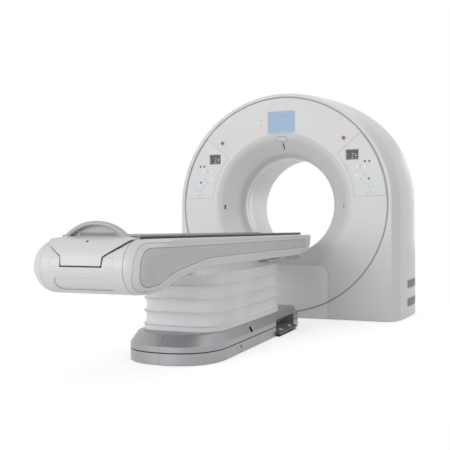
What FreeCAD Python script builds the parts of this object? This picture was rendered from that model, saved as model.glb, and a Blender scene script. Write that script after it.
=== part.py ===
import FreeCAD
import Part
import math
import os

# CT scanner: a ring-shaped gantry with the scanning rotor inside its covers, and a patient
# couch on a scissor lift in front of it.
# Frame: millimetres, +Z up. The origin is on the floor, straight below the isocentre.
# +Y runs along the bore, away from the couch; +X is the gantry's right as seen from the couch.

V = FreeCAD.Vector

# ---------------------------------------------------------------- driving dimensions: gantry
ISO_HEIGHT = 1046.0            # bore axis above the floor
SCAN_DEPTH = 350.0             # front face to scan plane
GANTRY_DEPTH = 950.0           # front face to rear face
COVER_WALL = 6.0               # moulded cover thickness
COVER_LIFT = 6.0               # covers end this far above the floor
SEAM = 0.8                     # gap between neighbouring covers

RING_RADIUS = 1000.0           # outer radius of the dark trim ring
RING_WIDTH = 11.0
RING_PROUD = 3.0
RING_BEVEL = 2.5
RING_SEAT_DEPTH = 3.0          # the ring lies on a lip this far behind the face
RING_LIP_GAP = 0.4
FACE_HALF_WIDTH = 1026.0       # front face, at the legs
FACE_RISE = 1023.5             # front face, bore axis to the crown
FACE_ROLL = ((3.0, 4.5, 2.0), (10.0, 9.5, 5.0))      # rolled edge: depth, sideways, upwards
SHELL_DEPTH = 110.0            # front surround, face to its seam
FLANK_HALF_WIDTH = 1140.0      # widest point of the side covers
FLANK_RISE = 1084.0            # highest point, over the bore axis
FLANK_CREST_DEPTH = 640.0      # depth of those two
FLANK_FRONT_DROP = (53.0, 37.2)                      # narrower and lower at the front seam
FLANK_REAR_DROP = (23.0, 14.0)                       # narrower and lower at the rear seam
FLANK_POWER = 1.6              # how sharply the flank curves near its ends
FLANK_END_DEPTH = 868.0        # flank covers end, rear cover starts
REAR_DROP = (49.0, 49.0)       # the rear face is narrower and lower than the rear seam
REAR_SHOULDER = ((0.38, 0.19), (0.75, 0.55))         # shares of the depth and of that drop
CROWN_WEIGHT = 0.707           # of the crown's middle pole: a plain ellipse at the face
CROWN_FULLER = 0.1             # added to the weight further back: a squarer crown
CROWN_FULL_DEPTH = 400.0
TOP_SEAM_ANGLE = 41.3          # seam between side and top covers, from the horizontal

FUNNEL_CORNER_RADIUS = 634.0   # where face plane and funnel cone would meet
FUNNEL_SHOULDER = 120.0        # rounding of that corner
FUNNEL_WAIST_RADIUS = 461.5    # where the cone and the throat would meet
FUNNEL_WAIST_DEPTH = 154.6
FUNNEL_WAIST_ROUND = 150.0
FUNNEL_STEPS = 4               # chords in each of those two roundings
THROAT_RADIUS = 450.0          # clear bore
THROAT_DEPTH = 236.0
WINDOW_END_DEPTH = 460.0       # rear edge of the scan window
WINDOW_END_RADIUS = 461.0
WINDOW_WALL = 3.0
WINDOW_SEAM = 0.9
REAR_FUNNEL_KNEE_DEPTH = 731.0
REAR_FUNNEL_KNEE_RADIUS = 490.0
REAR_OPENING_RADIUS = 502.0
REAR_LIP_RADIUS = 530.0
REAR_LIP_BEVEL = 8.0

WEDGE_INNER_RADIUS = 700.0     # control panels: wedges between these radii
WEDGE_BOTTOM = 67.0            # above the bore axis
WEDGE_TOP_ANGLE = 40.3
WEDGE_THICKNESS = 3.0

DISPLAY_CENTRE = 765.5         # of the touch screen, above the bore axis
DISPLAY_SIZE = (255.0, 191.0)
BEZEL_RIM = 10.0
BEZEL_PROUD = 2.0
PANEL_DISPLAY_CENTRE = (674.0, 441.0)                # x and height above the bore axis
PANEL_DISPLAY_SIZE = (121.0, 97.0)
KEY_RADIUS = 11.0
KEY_PROUD = 1.2
KEY_SIDES = 16

STOP_POSITION = (595.0, 593.0)                       # x and height above the bore axis
STOP_COLLAR_RADIUS = 24.0
STOP_COLLAR_PROUD = 5.0
STOP_HEAD_RADIUS = 15.0
STOP_HEAD_THICKNESS = 10.0
STOP_TRAVEL = 5.0
STOP_STEM_RADIUS = 8.0
STOP_SLEEVE_RADIUS = 19.0

SERVICE_HALF_WIDTH = 449.0
SERVICE_TOP = 556.0            # below the bore axis
SERVICE_CORNER = 75.0

VENT_DEPTHS = (200.0, 620.0)
VENT_HEIGHTS = ((112.0, 196.0), (284.0, 366.0))
VENT_SLOTS = 6
VENT_SLOT = 6.0
VENT_REACH = (FLANK_HALF_WIDTH - 110.0, FLANK_HALF_WIDTH + 60.0)

BASE_PLATE = (980.0, 30.0, 910.0, 25.0)      # half-width, front depth, rear depth, thickness
ANCHOR_RADIUS = 9.0
GANTRY_ANCHOR_X = 900.0
GANTRY_ANCHOR_DEPTHS = (150.0, 820.0)

STATOR_DEPTHS = (640.0, 690.0)
STATOR_RADIUS = 770.0
STATOR_BORE = 575.0
STATOR_LEG_INNER = 480.0
STATOR_LEG_OUTER = 900.0
RACE_SPLIT_RADIUS = 566.0
RACE_GAP = 0.3
RACE_WALL = 26.0
DRUM_DEPTHS = (560.0, 590.0)
DRUM_RADIUS = 930.0
DRUM_BORE = 520.0
SLIP_RING_RADIUS = 943.0
BRUSH_GAP = 0.4
BRUSH_DROP = 406.0             # below the bore axis
BRUSH_OUTER = 940.0
TUBE_ORBIT = 735.0             # radius on which the tube's axis turns
TUBE_RADIUS_HOUSING = 105.0
TUBE_DEPTHS = (150.0, 190.0, 420.0)                  # cap, drum and foot begin
COLLIMATOR_SIZE = (130.0, 90.0, 70.0)                # half width, half depth, height
COLLIMATOR_SLOT = (100.0, 20.0)
DETECTOR_RADII = (600.0, 680.0, 720.0)               # face, bracket, back
DETECTOR_HALF_DEPTH = 90.0
DETECTOR_HALF_ANGLE = 40.2
CABINET_ORBIT = 720.0
BRACKET_WIDTH = 24.0
BRACKET_GAP = 0.3

# ---------------------------------------------------------------- driving dimensions: couch
COUCH_HALF_WIDTH = 345.0
COUCH_TOP = 770.0              # top edge of the side covers
COUCH_UNDERSIDE = 603.0
HEAD_END = 186.0               # head end of the couch frame in front of the gantry face
NOSE_END = 2918.0              # foot end
NOSE_RADIUS = 140.0
NOSE_ROUNDING = 121.0          # of the nose into the couch's sides
NOSE_RUN_OUT = 170.0           # length over which that rounding fades into a plain edge
NOSE_STEPS = 5                 # chords in that rounding
SIDE_EDGE = 10.0
CAP_HALF_WIDTH = 237.7
CAP_SEAM = 0.8
CAP_START = 2700.0
COUCH_WALL = 5.0
INLAY_HEAD = 346.0             # ends of the grey inlay on the couch's side
INLAY_FOOT = 2875.0
INLAY_RECESS = 4.0

SLIDE_TRAVEL = 1780.0
SLIDE_GAP = 3.0
RUNNER_X = 66.0                # sliding strips under the carriage
RUNNER_WIDTH = 22.0
RUNNER_GAP = 0.3
CHANNEL_HALF_WIDTH = 115.0     # carriage in its channel
CHANNEL_BOTTOM = 640.0
SHOULDER_LOW = (119.0, 686.0)
SHOULDER_HIGH = (199.0, 737.0)
TABLE_HALF_WIDTH = 235.0
TABLE_TOP = 797.0
TABLE_EDGE_LOW = 773.0
TABLE_DISH = 20.0
TABLE_HEAD = 426.0
TABLE_FOOT = 2690.0
TIP_HEAD = 60.0
TIP_HALF_WIDTH = 222.0
CARRIAGE_HEAD = 1985.0

HANDLE_OUTER_RADIUS = 267.0
HANDLE_CENTRE_HEIGHT = 595.0
HANDLE_TUBE = 23.0
HANDLE_DEPTHS = (2765.0, 2803.0)
HANDLE_WEB = 8.0
HANDLE_BEVEL = 7.0

PLINTH_HALF_WIDTH = 318.0
PLINTH_NOSE_CENTRE = 1880.0
PLINTH_NOSE_LENGTH = 298.0
PLINTH_NOSE_WEIGHT = 0.95      # of the nose's middle poles: fuller than an ellipse
PLINTH_HEAD = 415.0
PLINTH_HEAD_CORNER = 70.0
PLINTH_WALL = 4.0
SKIRT_TOP = 72.0
SKIRT_NECK = 3.0               # how far the neck stands back
PLINTH_GAP = 6.0               # shadow gap over the skirt
PLINTH_SEAM = 0.8
SHOULDER_START = 112.0
PLINTH_TOP = 176.0
PLINTH_INSET = 34.0
COUCH_BASE_THICKNESS = 20.0
COUCH_ANCHOR_X = 230.0
COUCH_ANCHOR_DISTANCES = (520.0, 1850.0)

BELLOWS_HALF_WIDTH = 284.0     # over the fold tips
BELLOWS_HEAD = 748.0
BELLOWS_FOOT = 1985.0
BELLOWS_CORNER = 110.0
BELLOWS_TOP = 547.0
BELLOWS_FOLDS = 4
BELLOWS_FOLD_DEPTH = 11.0
BELLOWS_HEM = 36.0
BELLOWS_WALL = 3.0
UNDER_PLATE_HALF_WIDTH = 286.0
UNDER_PLATE_FOOT = 2190.0

ARM_LENGTH = 1080.0            # pivot to pivot
ARM_WIDTH = 50.0
ARM_THICKNESS = 16.0
TUBE_SHARE = 0.3               # cross tubes sit this far along the arms
TUBE_RADIUS = 15.0
PIN_RADIUS = 12.0
PIN_FIT = 0.06
LOW_PIVOT = (1930.0, 95.0)     # distance from the gantry face, height
HIGH_PIVOT_HEIGHT = 517.0
OUTER_ARM_X = 182.0
INNER_ARM_X = 157.0
TRACK_SLOT_CLEARANCE = 0.8
LIFT_TURN = (13.8, 6.8)        # degrees the arms turn down and up

PEDAL_WELL = (583.0, 1003.0)   # distances from the gantry face
PEDAL_WELL_X = 222.0
PEDAL_WELL_TOP = 128.0
PEDAL_PIVOT = (240.0, 46.0)
PEDAL_PIN_RADIUS = 5.0
PEDAL_LENGTH = 196.0
PEDAL_REACH = 349.0
PEDAL_TRAY = (347.0, 3.0)      # outer edge and height of the tray under the pedals

RAIL_DISTANCES = (480.0, 1212.0)
RAIL_SECTION = (10.0, 25.0)
RAIL_DROP = 8.0
RAIL_BRACKETS = 4

FACE_Y = -SCAN_DEPTH


# ---------------------------------------------------------------- drawing helpers
def deep(depth):
    """y of a plane that lies this far behind the gantry's front face."""
    return FACE_Y + depth


def ahead(distance):
    """y of a plane that lies this far in front of the gantry's front face."""
    return FACE_Y - distance


def save(name, shape):
    """Write one sub-part."""
    shape.exportStep("parts/" + name + ".step")
    print(name, "solids", len(shape.Solids), "volume_cm3", round(shape.Volume / 1000.0, 1))


def box(x0, x1, y0, y1, z0, z1):
    low = V(min(x0, x1), min(y0, y1), min(z0, z1))
    return Part.makeBox(abs(x1 - x0), abs(y1 - y0), abs(z1 - z0), low)


def turn(a, b, c):
    """Signed turn at b on the way from a to c."""
    return (b[0] - a[0]) * (c[1] - b[1]) - (b[1] - a[1]) * (c[0] - b[0])


def inset(outline, distance):
    """Closed outline of (u, v, radius) corners moved inwards by a distance."""
    count = len(outline)
    area = sum(
        outline[i][0] * outline[(i + 1) % count][1] - outline[(i + 1) % count][0] * outline[i][1]
        for i in range(count)
    )
    side = 1.0 if area > 0 else -1.0
    moved = []
    for i in range(count):
        a = outline[i - 1]
        b = outline[i]
        c = outline[(i + 1) % count]
        before = unit(a, b)
        after = unit(b, c)
        spread = 1.0 + before[0] * after[0] + before[1] * after[1]
        shift_u = -side * (before[1] + after[1]) * distance / spread
        shift_v = side * (before[0] + after[0]) * distance / spread
        convex = turn(a, b, c) * side > 0
        radius = b[2] - distance if convex else b[2] + distance
        if b[2] == 0.0:
            radius = 0.0
        moved.append((b[0] + shift_u, b[1] + shift_v, max(radius, 0.0)))
    return moved


def unit(a, b):
    length = math.hypot(b[0] - a[0], b[1] - a[1])
    return ((b[0] - a[0]) / length, (b[1] - a[1]) / length)


def wire(outline, place, closed=True):
    """Lines through (u, v, radius) corners, each rounded by its radius. place maps (u, v) to a point."""
    count = len(outline)
    edges = []
    first = None
    last = None
    for i in range(count):
        b = outline[i]
        if not closed and i in (0, count - 1):
            start = end = (b[0], b[1])
        elif b[2] == 0.0:
            start = end = (b[0], b[1])
        else:
            a = outline[i - 1]
            c = outline[(i + 1) % count]
            before = unit(a, b)
            after = unit(b, c)
            cosine = before[0] * after[0] + before[1] * after[1]
            angle = math.acos(max(-1.0, min(1.0, cosine)))
            cut = b[2] * math.tan(angle / 2.0)
            start = (b[0] - before[0] * cut, b[1] - before[1] * cut)
            end = (b[0] + after[0] * cut, b[1] + after[1] * cut)
            bulge = b[2] / math.cos(angle / 2.0) - b[2]
            bisector = unit((0.0, 0.0), (after[0] - before[0], after[1] - before[1]))
            middle = (b[0] + bisector[0] * bulge, b[1] + bisector[1] * bulge)
        if last is not None and math.hypot(start[0] - last[0], start[1] - last[1]) > 1e-6:
            edges.append(Part.LineSegment(place(*last), place(*start)).toShape())
        if start != end:
            edges.append(Part.Arc(place(*start), place(*middle), place(*end)).toShape())
        first = first or start
        last = end
    if closed and math.hypot(first[0] - last[0], first[1] - last[1]) > 1e-6:
        edges.append(Part.LineSegment(place(*last), place(*first)).toShape())
    return Part.Wire(edges)


def chords(outline, steps):
    """The same outline with each rounding drawn as a few straight chords."""
    count = len(outline)
    points = []
    for i in range(count):
        b = outline[i]
        if b[2] == 0.0:
            points.append(b)
            continue
        a = outline[i - 1]
        c = outline[(i + 1) % count]
        before = unit(a, b)
        after = unit(b, c)
        cosine = before[0] * after[0] + before[1] * after[1]
        angle = math.acos(max(-1.0, min(1.0, cosine)))
        bisector = unit((0.0, 0.0), (after[0] - before[0], after[1] - before[1]))
        reach = b[2] / math.cos(angle / 2.0)
        centre = (b[0] + bisector[0] * reach, b[1] + bisector[1] * reach)
        cut = b[2] * math.tan(angle / 2.0)
        u, v = b[0] - before[0] * cut - centre[0], b[1] - before[1] * cut - centre[1]
        way = 1.0 if turn(a, b, c) > 0 else -1.0
        for step in range(steps + 1):
            part = way * angle * step / steps
            points.append((
                centre[0] + u * math.cos(part) - v * math.sin(part),
                centre[1] + u * math.sin(part) + v * math.cos(part),
                0,
            ))
    return points


def along_x(outline, x0, x1):
    """Prism of a (y, z) outline between two x planes."""
    face = Part.Face(wire(outline, lambda u, v: V(x0, u, v)))
    return face.extrude(V(x1 - x0, 0, 0))


def along_y(outline, y0, y1):
    """Prism of an (x, z) outline between two y planes."""
    face = Part.Face(wire(outline, lambda u, v: V(u, y0, v)))
    return face.extrude(V(0, y1 - y0, 0))


def along_z(outline, z0, z1):
    """Prism of an (x, y) outline between two heights."""
    face = Part.Face(wire(outline, lambda u, v: V(u, v, z0)))
    return face.extrude(V(0, 0, z1 - z0))


def around_bore(outline):
    """Body of revolution about the bore axis, from a (radius, y) outline."""
    face = Part.Face(wire(outline, lambda u, v: V(u, v, ISO_HEIGHT)))
    return face.revolve(V(0, 0, ISO_HEIGHT), V(0, 1, 0), 360)


def ring(inner, outer, y0, y1):
    """Plain ring around the bore axis."""
    return around_bore([(inner, y0, 0), (outer, y0, 0), (outer, y1, 0), (inner, y1, 0)])


def disc(radius, x, z, y0, y1):
    return Part.makeCylinder(radius, y1 - y0, V(x, y0, z), V(0, 1, 0))


def rod_x(radius, y, z, x0, x1):
    return Part.makeCylinder(radius, abs(x1 - x0), V(min(x0, x1), y, z), V(1, 0, 0))


def mirrored(shape):
    """The same piece on the other side of the centre plane."""
    return shape.mirror(V(0, 0, 0), V(1, 0, 0))


def both(shape):
    return Part.makeCompound([shape, mirrored(shape)])


def slab(x, z, width, height, corner):
    """Rounded rectangle in the x-z plane, centred on (x, z)."""
    return [
        (x - width / 2, z - height / 2, corner),
        (x + width / 2, z - height / 2, corner),
        (x + width / 2, z + height / 2, corner),
        (x - width / 2, z + height / 2, corner),
    ]


# ---------------------------------------------------------------- gantry covers
def bow(start, corner, end, weight):
    """Curve from start to end that leaves both along the lines to the corner; weight makes it fuller."""
    curve = Part.BezierCurve()
    curve.setPoles([start, corner, end])
    curve.setWeight(2, weight)
    return curve.toShape()


def arch(half_width, rise, depth, floor=COVER_LIFT):
    """Outline of the gantry at one depth: two upright legs and the crown over them."""
    y = deep(depth)
    weight = CROWN_WEIGHT + CROWN_FULLER * min(1.0, depth / CROWN_FULL_DEPTH)
    foot_right = V(half_width, y, floor)
    foot_left = V(-half_width, y, floor)
    hip_right = V(half_width, y, ISO_HEIGHT)
    hip_left = V(-half_width, y, ISO_HEIGHT)
    top = ISO_HEIGHT + rise
    return Part.Wire([
        Part.LineSegment(foot_left, foot_right).toShape(),
        Part.LineSegment(foot_right, hip_right).toShape(),
        bow(hip_right, V(half_width, y, top), V(0, y, top), weight),
        bow(V(0, y, top), V(-half_width, y, top), hip_left, weight),
        Part.LineSegment(hip_left, foot_left).toShape(),
    ])


def flank_section(depth):
    """Depth, half width and rise of the flank: widest at its crest, dropping towards both seams."""
    if depth < FLANK_CREST_DEPTH:
        run, drop = FLANK_CREST_DEPTH - SHELL_DEPTH, FLANK_FRONT_DROP
    else:
        run, drop = FLANK_END_DEPTH - FLANK_CREST_DEPTH, FLANK_REAR_DROP
    share = (abs(depth - FLANK_CREST_DEPTH) / run) ** FLANK_POWER
    return (depth, FLANK_HALF_WIDTH - drop[0] * share, FLANK_RISE - drop[1] * share)


def rear_section(depth_share, drop_share):
    """Section of the rear cover's rounded shoulder, by shares of its depth and of its drop."""
    _, half_width, rise = flank_section(REAR_START)
    depth = REAR_START + depth_share * (GANTRY_DEPTH - REAR_START)
    return (depth, half_width - REAR_DROP[0] * drop_share, rise - REAR_DROP[1] * drop_share)


def barrel(sections, wall, floor=COVER_LIFT):
    """Solid through arch outlines; sections are (depth, half_width, rise), wall moves them inwards."""
    wires = [arch(w - wall, r - wall, d, floor) for d, w, r in sections]
    return Part.makeLoft(wires, True, True)


FLANK_START = SHELL_DEPTH + SEAM
REAR_START = FLANK_END_DEPTH + SEAM
FRONT_SECTIONS = [(0.0, FACE_HALF_WIDTH, FACE_RISE)]
FRONT_SECTIONS += [(d, FACE_HALF_WIDTH + w, FACE_RISE + r) for d, w, r in FACE_ROLL]
FRONT_SECTIONS += [flank_section(SHELL_DEPTH)]
FRONT_CAVITY = [
    (COVER_WALL, FACE_HALF_WIDTH + COVER_WALL, FACE_RISE + COVER_WALL / 2.0),
    FRONT_SECTIONS[2],
    FRONT_SECTIONS[3],
]
FLANK_SECTIONS = [flank_section(d) for d in (FLANK_START, 280.0, 460.0, FLANK_CREST_DEPTH, FLANK_END_DEPTH)]
REAR_SECTIONS = [rear_section(0.0, 0.0)]
REAR_SECTIONS += [rear_section(along, down) for along, down in REAR_SHOULDER]
REAR_SECTIONS += [rear_section(1.0, 1.0)]
REAR_CAVITY = REAR_SECTIONS[:2] + [rear_section(1.0 - COVER_WALL / (GANTRY_DEPTH - REAR_START), 0.88)]


def front_surround():
    """Outer band of the front, with the lower corners beside the trim ring."""
    outer = barrel(FRONT_SECTIONS, 0.0)
    hollow = barrel(FRONT_CAVITY, COVER_WALL, COVER_LIFT - 1.0)
    opening = disc(RING_RADIUS + SEAM, 0, ISO_HEIGHT, deep(-1.0), deep(RING_SEAT_DEPTH))
    lip = disc(FACE_DISC_RADIUS + RING_LIP_GAP, 0, ISO_HEIGHT, deep(-1.0), deep(COVER_WALL + 1.0))
    return outer.cut(hollow).cut(opening).cut(lip).cut(service_opening())


def service_outline(margin):
    half = SERVICE_HALF_WIDTH + margin
    top = ISO_HEIGHT - SERVICE_TOP + margin
    bottom = COVER_LIFT
    return [
        (-half, bottom, 0), (half, bottom, 0),
        (half, top, SERVICE_CORNER), (-half, top, SERVICE_CORNER),
    ]


def service_opening():
    outline = service_outline(SEAM)
    outline[0] = (outline[0][0], COVER_LIFT - 1.0, 0)
    outline[1] = (outline[1][0], COVER_LIFT - 1.0, 0)
    return along_y(outline, deep(-1.0), deep(COVER_WALL + 1.0))


def ring_groove():
    """Space of the trim ring where it runs over the face."""
    inner = RING_RADIUS - RING_WIDTH
    return ring(inner - SEAM, RING_RADIUS + SEAM, deep(-1.0), deep(RING_SEAT_DEPTH))


def service_panel():
    """Lower middle of the front, lifted off to service the rotor. The trim ring lies in its groove."""
    plate = along_y(service_outline(0.0), deep(0.0), deep(COVER_WALL))
    return plate.cut(ring_groove())


def trim_ring():
    """Bevelled dark ring between the face disc and the surround."""
    inner = RING_RADIUS - RING_WIDTH
    front = deep(-RING_PROUD)
    seat = deep(RING_SEAT_DEPTH)
    return around_bore([
        (inner + RING_BEVEL, front, 0), (RING_RADIUS - RING_BEVEL, front, 0),
        (RING_RADIUS, seat, 0), (inner, seat, 0),
    ])


FACE_DISC_RADIUS = RING_RADIUS - RING_WIDTH - SEAM


def mouth_curve(offset):
    """Open (radius, y) corners of the face disc and the funnel, moved into the cover by offset."""
    face = (FACE_DISC_RADIUS, deep(0.0))
    corner = (FUNNEL_CORNER_RADIUS, deep(0.0))
    waist = (FUNNEL_WAIST_RADIUS, deep(FUNNEL_WAIST_DEPTH))
    throat = (THROAT_RADIUS, deep(THROAT_DEPTH))
    slope = unit(corner, waist)
    lip = unit(waist, throat)
    shoulder_shift = offset * math.tan(math.acos(-slope[0]) / 2.0)
    waist_normal = (slope[1] + lip[1], -(slope[0] + lip[0]))
    waist_scale = offset / (1.0 + slope[0] * lip[0] + slope[1] * lip[1])
    return chords([
        (face[0], face[1] + offset, 0),
        (corner[0] + shoulder_shift, corner[1] + offset, FUNNEL_SHOULDER - offset),
        (
            waist[0] + waist_normal[0] * waist_scale,
            waist[1] + waist_normal[1] * waist_scale,
            FUNNEL_WAIST_ROUND - offset,
        ),
        (throat[0] + lip[1] * offset, throat[1] - lip[0] * offset, 0),
    ], FUNNEL_STEPS)


def mouth_layer(front, back):
    """Shell that follows the face disc and funnel between two offsets."""
    return around_bore(mouth_curve(front) + list(reversed(mouth_curve(back))))


def wedge(margin):
    """Prism of one control panel, on the right."""
    outer = FACE_DISC_RADIUS - 4.0 + margin
    inner = WEDGE_INNER_RADIUS - margin
    low = WEDGE_BOTTOM - margin
    angle = math.radians(WEDGE_TOP_ANGLE)
    shift = (-math.sin(angle) * margin, math.cos(angle) * margin)

    def on_circle_low(radius):
        return (math.sqrt(radius ** 2 - low ** 2), low)

    def on_circle_high(radius):
        return (radius * math.cos(angle) + shift[0], radius * math.sin(angle) + shift[1])

    def middle(radius):
        half = (math.radians(WEDGE_TOP_ANGLE) + math.asin(low / radius)) / 2.0
        return (radius * math.cos(half), radius * math.sin(half))

    y = deep(-1.0)

    def point(p):
        return V(p[0], y, ISO_HEIGHT + p[1])

    edges = [
        Part.LineSegment(point(on_circle_low(inner)), point(on_circle_low(outer))).toShape(),
        Part.Arc(point(on_circle_low(outer)), point(middle(outer)), point(on_circle_high(outer))).toShape(),
        Part.LineSegment(point(on_circle_high(outer)), point(on_circle_high(inner))).toShape(),
        Part.Arc(point(on_circle_high(inner)), point(middle(inner)), point(on_circle_low(inner))).toShape(),
    ]
    return Part.Face(Part.Wire(edges)).extrude(V(0, WEDGE_THICKNESS + 1.0, 0))


def control_panel():
    """Flush wedge panel on the right of the mouth, with the pockets of its display."""
    reach = RING_RADIUS + RING_WIDTH
    plate = wedge(0.0).common(box(0, reach, deep(0.0), deep(WEDGE_THICKNESS), ISO_HEIGHT, ISO_HEIGHT + reach))
    x, rise = PANEL_DISPLAY_CENTRE
    width, height = PANEL_DISPLAY_SIZE
    outline = slab(x, ISO_HEIGHT + rise, width + 1.0, height + 1.0, 3.5)
    pocket = along_y(outline, deep(-1.0), deep(WEDGE_THICKNESS - 1.0))
    return plate.cut(pocket)


def panel_display():
    x, rise = PANEL_DISPLAY_CENTRE
    width, height = PANEL_DISPLAY_SIZE
    outline = slab(x, ISO_HEIGHT + rise, width, height, 3.0)
    return along_y(outline, deep(-0.4), deep(WEDGE_THICKNESS - 1.0))


# Key centres on the right panel, x and height above the bore axis; the left panel mirrors them.
KEY_CLUSTER_CENTRE = (789.0, 221.0)
KEY_CLUSTER_RADIUS = 36.0
GREY_KEYS = [(829.0, 376.0), (789.0, 376.0), (KEY_CLUSTER_CENTRE[0] + KEY_CLUSTER_RADIUS, 222.0)]
WHITE_KEYS = [(789.0, 332.0), (716.0, 332.0), (716.0, 256.0)]
BLUE_KEYS = [
    (752.5, 336.0),
    (KEY_CLUSTER_CENTRE[0], KEY_CLUSTER_CENTRE[1] + KEY_CLUSTER_RADIUS),
    (KEY_CLUSTER_CENTRE[0] - KEY_CLUSTER_RADIUS, KEY_CLUSTER_CENTRE[1]),
    (KEY_CLUSTER_CENTRE[0], KEY_CLUSTER_CENTRE[1] - KEY_CLUSTER_RADIUS),
    (866.0, 148.0), (828.0, 147.0), (845.0, 101.0), (808.0, 101.0),
]


def keys(centres):
    """Flush membrane keys of both panels."""
    pieces = []
    for x, rise in centres:
        corners = [math.radians(360.0 * i / KEY_SIDES) for i in range(KEY_SIDES)]
        outline = [
            (x + KEY_RADIUS * math.cos(a), ISO_HEIGHT + rise + KEY_RADIUS * math.sin(a), 0) for a in corners
        ]
        pieces.append(along_y(outline, deep(-KEY_PROUD), deep(0.0)))
    return Part.makeCompound(pieces + [mirrored(piece) for piece in pieces])


def display_cut(margin):
    width, height = DISPLAY_SIZE
    return slab(0, ISO_HEIGHT + DISPLAY_CENTRE, width + 2 * margin, height + 2 * margin, 5.0 + margin)


def display_bezel():
    """Frame around the touch screen, standing a little proud."""
    body = along_y(display_cut(BEZEL_RIM), deep(-BEZEL_PROUD), deep(COVER_WALL))
    window = along_y(display_cut(0.5), deep(-BEZEL_PROUD - 1.0), deep(COVER_WALL - 3.0))
    return body.cut(window)


def display_screen():
    return along_y(display_cut(0.0), deep(-BEZEL_PROUD + 0.8), deep(COVER_WALL - 3.0))


def mouth_patch(outline, front, back):
    """Piece of the mouth's surface layer inside an (x, z) outline."""
    return mouth_layer(front, back).common(along_y(outline, deep(-5.0), deep(THROAT_DEPTH)))


BREATH_RADIUS = 612.0          # its centre on the funnel's shoulder
BREATH_SIZE = (114.0, 50.0)
TOP_LASER = [
    (-8.0, ISO_HEIGHT + 524.0, 5.0), (4.0, ISO_HEIGHT + 524.0, 5.0),
    (8.0, ISO_HEIGHT + 576.0, 5.0), (-4.0, ISO_HEIGHT + 576.0, 5.0),
]
SIDE_LASER = slab(545.0, ISO_HEIGHT - 24.0, 46.0, 54.0, 4.0)


def grown(outline, margin):
    return inset(outline, -margin)


def laser_windows():
    """Dark windows of the positioning lights, at the top and on both sides of the funnel."""
    side = mouth_patch(SIDE_LASER, -0.4, COVER_WALL)
    return Part.makeCompound([mouth_patch(TOP_LASER, -0.4, COVER_WALL), side, mirrored(side)])


def breathing_pill(margin, front, back):
    """Pill lying in the funnel's slope above the opening; front and back are heights over it."""
    width, height = BREATH_SIZE
    outline = slab(0, 0, width + 2 * margin, height + 2 * margin, height / 2 + margin - 0.1)
    turned = math.atan2(FUNNEL_WAIST_DEPTH, FUNNEL_CORNER_RADIUS - FUNNEL_WAIST_RADIUS)
    shoulder_start = FUNNEL_CORNER_RADIUS + FUNNEL_SHOULDER * math.tan(turned / 2.0)
    tilt = math.asin((shoulder_start - BREATH_RADIUS) / FUNNEL_SHOULDER)
    pill = along_y(outline, -front, -back)
    pill.rotate(V(0, 0, 0), V(1, 0, 0), math.degrees(tilt))
    pill.translate(V(0, deep(FUNNEL_SHOULDER * (1.0 - math.cos(tilt))), ISO_HEIGHT + BREATH_RADIUS))
    return pill


def breathing_guide():
    """Lamp that tells the patient when to breathe."""
    return breathing_pill(0.0, 2.5, -COVER_WALL)


def front_cover():
    """Face disc and funnel in one moulding, with the seats of everything mounted in it."""
    cover = mouth_layer(0.0, COVER_WALL)
    cover = cover.cut(service_opening())
    for panel in (wedge(SEAM), mirrored(wedge(SEAM))):
        cover = cover.cut(panel)
    cover = cover.cut(along_y(display_cut(BEZEL_RIM + 0.3), deep(-5.0), deep(COVER_WALL + 5.0)))
    cover = cover.cut(breathing_pill(0.4, 30.0, -30.0))
    for outline in (TOP_LASER, SIDE_LASER):
        hole = along_y(grown(outline, 0.4), deep(-5.0), deep(THROAT_DEPTH))
        cover = cover.cut(hole)
        if outline is SIDE_LASER:
            cover = cover.cut(mirrored(hole))
    for side in (-1, 1):
        x = side * STOP_POSITION[0]
        hole = disc(STOP_SLEEVE_RADIUS, x, ISO_HEIGHT + STOP_POSITION[1], deep(-1.0), deep(COVER_WALL + 1.0))
        cover = cover.cut(hole)
    return cover


def status_lights():
    """Green ready lamp right of the screen and two small indicators left of it."""
    lamps = [(202.0, 767.0, 8.0), (-200.0, 788.0, 6.0), (-200.0, 739.0, 6.0)]
    return Part.makeCompound([disc(r, x, ISO_HEIGHT + rise, deep(-1.5), deep(0.0)) for x, rise, r in lamps])


def stop_switches():
    """Emergency switches: pale collar, sleeve through the cover and a block that guides the stem."""
    x, z = STOP_POSITION[0], ISO_HEIGHT + STOP_POSITION[1]
    collar = disc(STOP_COLLAR_RADIUS, x, z, deep(-STOP_COLLAR_PROUD), deep(0.0))
    sleeve = disc(STOP_SLEEVE_RADIUS, x, z, deep(0.0), deep(COVER_WALL))
    block = box(x - 22, x + 22, deep(COVER_WALL), deep(COVER_WALL + 34.0), z - 22, z + 22)
    well = disc(STOP_HEAD_RADIUS + 0.5, x, z, deep(-STOP_COLLAR_PROUD - 1.0), deep(COVER_WALL - 1.0))
    bore = disc(STOP_STEM_RADIUS + PIN_FIT, x, z, deep(0.0), deep(COVER_WALL + 35.0))
    return both(collar.fuse([sleeve, block]).removeSplitter().cut(well).cut(bore))


def stop_button():
    """Mushroom head with a bevelled front, and its stem."""
    x, z = STOP_POSITION[0], ISO_HEIGHT + STOP_POSITION[1]
    head_front = deep(-STOP_COLLAR_PROUD - STOP_HEAD_THICKNESS + 2.0)
    head_back = head_front + STOP_HEAD_THICKNESS
    profile = [
        (0, head_front, 0), (STOP_HEAD_RADIUS - 5.0, head_front, 0),
        (STOP_HEAD_RADIUS - 1.5, head_front + 2.0, 0), (STOP_HEAD_RADIUS, head_front + 5.0, 0),
        (STOP_HEAD_RADIUS, head_back, 0), (STOP_STEM_RADIUS, head_back, 0),
        (STOP_STEM_RADIUS, deep(COVER_WALL + 25.0), 0), (0, deep(COVER_WALL + 25.0), 0),
    ]
    face = Part.Face(wire(profile, lambda u, v: V(x + u, v, z)))
    return face.revolve(V(x, 0, z), V(0, 1, 0), 360)


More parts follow.
